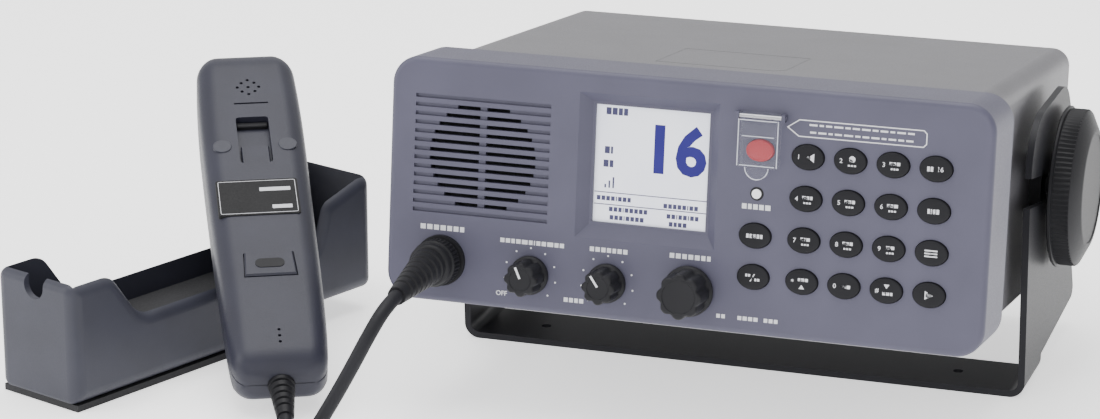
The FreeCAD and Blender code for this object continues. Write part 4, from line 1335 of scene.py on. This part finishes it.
# %% The plate and its lines
PLATE_X, PLATE_S = -1.5, 108.0
PLATE_LINE = 0.25
plate_top = face_height(PLATE_S) + 0.45
handset_block("blank_plate", rounded_rect(PLATE_X, PLATE_S, 37.0, 24.0, 1.2), plate_top - 2.0,
              plate_top, 0.15, speaker_black)
shape = bmesh.new()
lines = band(rounded_rect(PLATE_X, PLATE_S, 35.0, 22.0, 0.8), PLATE_LINE)
lines += [rounded_rect(6.5, 113.0, 14.0, 2.4, 0.3), rounded_rect(9.0, 101.0, 9.0, 2.4, 0.3)]
for outline in lines:
    prism(shape, outline, plate_top - 0.1, plate_top + 0.05)
handset_piece(shape, "plate_lines", ink_white, "handset")
print("lines on the plate", len(lines))

# %% [markdown]
# The talk button is a cap in its own hole, with a raised oval where the thumb
# rests. Both belong to the button's body, so both go in when it is pressed.

# %% Talk button
TALK_CAP = [(-11.6, 54.6), (11.6, 54.6), (10.8, 69.6), (-10.8, 69.6)]
TALK_LOW, TALK_TOP = 5.5, 14.6
talk_body = body_of_node["talk_button"]
talk_cap = handset_block("talk_cap", TALK_CAP, TALK_LOW, TALK_TOP, 0.7, handset_grey, talk_body)
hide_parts("talk_button")
shape = bmesh.new()
prism(shape, rounded_rect(0.0, 62.0, 13.0, 5.6, 2.7), TALK_TOP - 0.3, TALK_TOP + 0.25)
handset_piece(shape, "talk_mark", black_plastic, talk_body)
print("talk button stands", round(TALK_TOP - face_height(62.0), 2), "mm proud")

# %% [markdown]
# A strain relief is a soft sleeve whose cuts let it bend a little at every
# step. A row of rings that swell and narrow along a tapering tube gives these
# ribs, with nothing to cut.

# %% Ribbed strain reliefs
STEPS_A_RIB = 8
GROOVE_STEPS = (5, 6)
RIB_DEEP = 0.9
PLUG_X, PLUG_Z = -106.1, -32.0


def ribbed_sleeve(name, start, end, r_start, r_end, ribs, finish, body, node):
    """A tapering tube with a groove after each rib, but none close to its ends."""
    steps = STEPS_A_RIB * ribs
    places = []
    radii = []
    for k in range(steps + 1):
        share = k / steps
        places.append(start.lerp(end, share))
        groove = 1.0 if k % STEPS_A_RIB in GROOVE_STEPS and 4 < k < steps - 4 else 0.0
        radii.append((r_start + (r_end - r_start) * share - RIB_DEEP * groove) * MM)
    sleeve = tube(name, places, radii, finish, sides=32)
    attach(sleeve, body)
    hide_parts(node)


plug_end = on_radio(PLUG_X, FACE_Y - 16.0, PLUG_Z)
ribbed_sleeve("plug_relief", plug_end, plug_line[0], 8.0, 4.0, 8, black_plastic, RADIO,
              "plug_strain_relief")
handset_foot = HANDSET_FRAME @ Vector((0, 0, 0))
ribbed_sleeve("handset_relief", handset_foot, handset_line[0], 6.0, 3.8, 6, black_plastic, "handset",
              "handset_strain_relief")
for relief, start, end in (("plug", plug_end, plug_line[0]), ("handset", handset_foot, handset_line[0])):
    print(relief, "relief", round((end - start).length, 4), "m long")

# %% [markdown]
# The plug is turned by hand to lock it, so its ring has coarse teeth for the
# fingers. As on the knobs, the teeth are made by the radius as it goes round:
# two points out and two points in for each tooth. Collars before and behind
# them are plain rings, with a small bevel at every edge.

# %% The plug's grip ring
def toothed(cx, cz, r, cut, y, teeth=36):
    places = []
    for k in range(4 * teeth):
        turn = math.pi * k / (2 * teeth)
        radius = r - (cut if k % 4 in (2, 3) else 0.0)
        places.append((cx + radius * math.cos(turn), y, cz + radius * math.sin(turn)))
    return places


SOCKET_FRONT = FACE_Y - 2.0
TOOTH_DEEP = 0.55
# Each ring: its radius, the depth of its teeth, and how far out it stands.
GRIP_PROFILE = [(8.6, 0, 0.0), (9.4, 0, 0.3), (9.4, 0, 1.4), (10.0, 0, 1.8),
                (10.0, TOOTH_DEEP, 2.4), (10.0, TOOTH_DEEP, 8.0), (10.0, 0, 8.6), (9.6, 0, 9.0),
                (8.9, 0, 9.4), (9.3, 0, 9.9), (9.3, 0, 12.6), (8.6, 0, 13.6), (7.6, 0, 14.0)]
shape = bmesh.new()
rings = [ring_of(shape, toothed(PLUG_X, PLUG_Z, r, cut, SOCKET_FRONT - out))
         for r, cut, out in GRIP_PROFILE]
bridge(shape, rings)
plug_grip = radio_piece(shape, "plug_grip", black_plastic, RADIO)
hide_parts("handset_plug")
print("plug stands out", GRIP_PROFILE[-1][2], "mm from its socket")

# %% [markdown]
# The clear flip cover catches light along its edges. A glass shader could work that out, at the cost of
# many samples, and the mostly see-through one used here would leave the edges unseen. So thin pale
# strips, painted highlights, lie where the real plastic is thick, and they flip up with the cover.

# %% Painted highlights on the flip cover
# A pale finish for the strips that stand in for light caught on the cover's edges: painted highlights.
painted_highlight = moulded("painted_highlight", (0.5, 0.51, 0.57),
                    rough=0.25, cloud=0.1, grain_mm=0.5, grain_deep=0.004)
COVER_X, COVER_FRONT = 33.1, FACE_Y - 5.54
COVER_HALF_W = 8.45
LIP_Z, LIP_OUTER_R, LIP_INNER_R = 21.6, 5.2, 4.8


def lip_arc(r):
    """Points from left to right under the cover, round the middle of its finger lip."""
    turns = [math.radians(a) for a in range(180, 361, 12)]
    return [(COVER_X + r * math.cos(t), LIP_Z + r * math.sin(t)) for t in turns]


# Each strip is a painted highlight where light would catch the thick edges of the cover and of its
# finger lip.
highlight_strips = [bar(COVER_X + side * COVER_HALF_W, 31.8, 0.4, 19.6) for side in (-1, 1)]
highlight_strips += [bar(COVER_X, 34.6, 13.6, 0.35), bar(COVER_X, 22.3, 15.0, 0.35), bar(COVER_X, 41.3, 16.0, 0.4)]
lip_outer = lip_arc(LIP_OUTER_R)
lip_inner = lip_arc(LIP_INNER_R)
highlight_strips += [[lip_outer[k], lip_outer[k + 1], lip_inner[k + 1], lip_inner[k]]
          for k in range(len(lip_outer) - 1)]
printed("cover_painted_highlights", highlight_strips, [], COVER_FRONT, body_of_node["distress_cover"], painted_highlight)
print("rails on the cover", len(highlight_strips))

# %% [markdown]
# Two small things complete the radio: the dark ring that the lamp sits in, and
# the thin outline of a flat plate on top of the case. Both are bands, as on the
# panel. The outline lies on the case's top, so it is made of upright blocks.

# %% Lamp ring and plate on the case
LAMP_X, LAMP_Z, LAMP_RING_R = 32.4, 9.8, 2.9
CASE_TOP = 52.0
TOP_PLATE = [(-34.0, -78.0), (20.0, -78.0), (24.0, -72.0), (24.0, -31.0), (-34.0, -31.0)]
lamp_ring = band(dot(LAMP_X, LAMP_Z, LAMP_RING_R, 32), 0.8)
printed("lamp_ring", lamp_ring, [], FACE_Y, RADIO, speaker_black)

shape = bmesh.new()
for outline in band(TOP_PLATE, 0.5):
    prism(shape, outline, CASE_TOP - 0.02, CASE_TOP + 0.05)
radio_piece(shape, "blank_top_plate", heatsink_grey, RADIO)
print("quads in the lamp ring", len(lamp_ring))
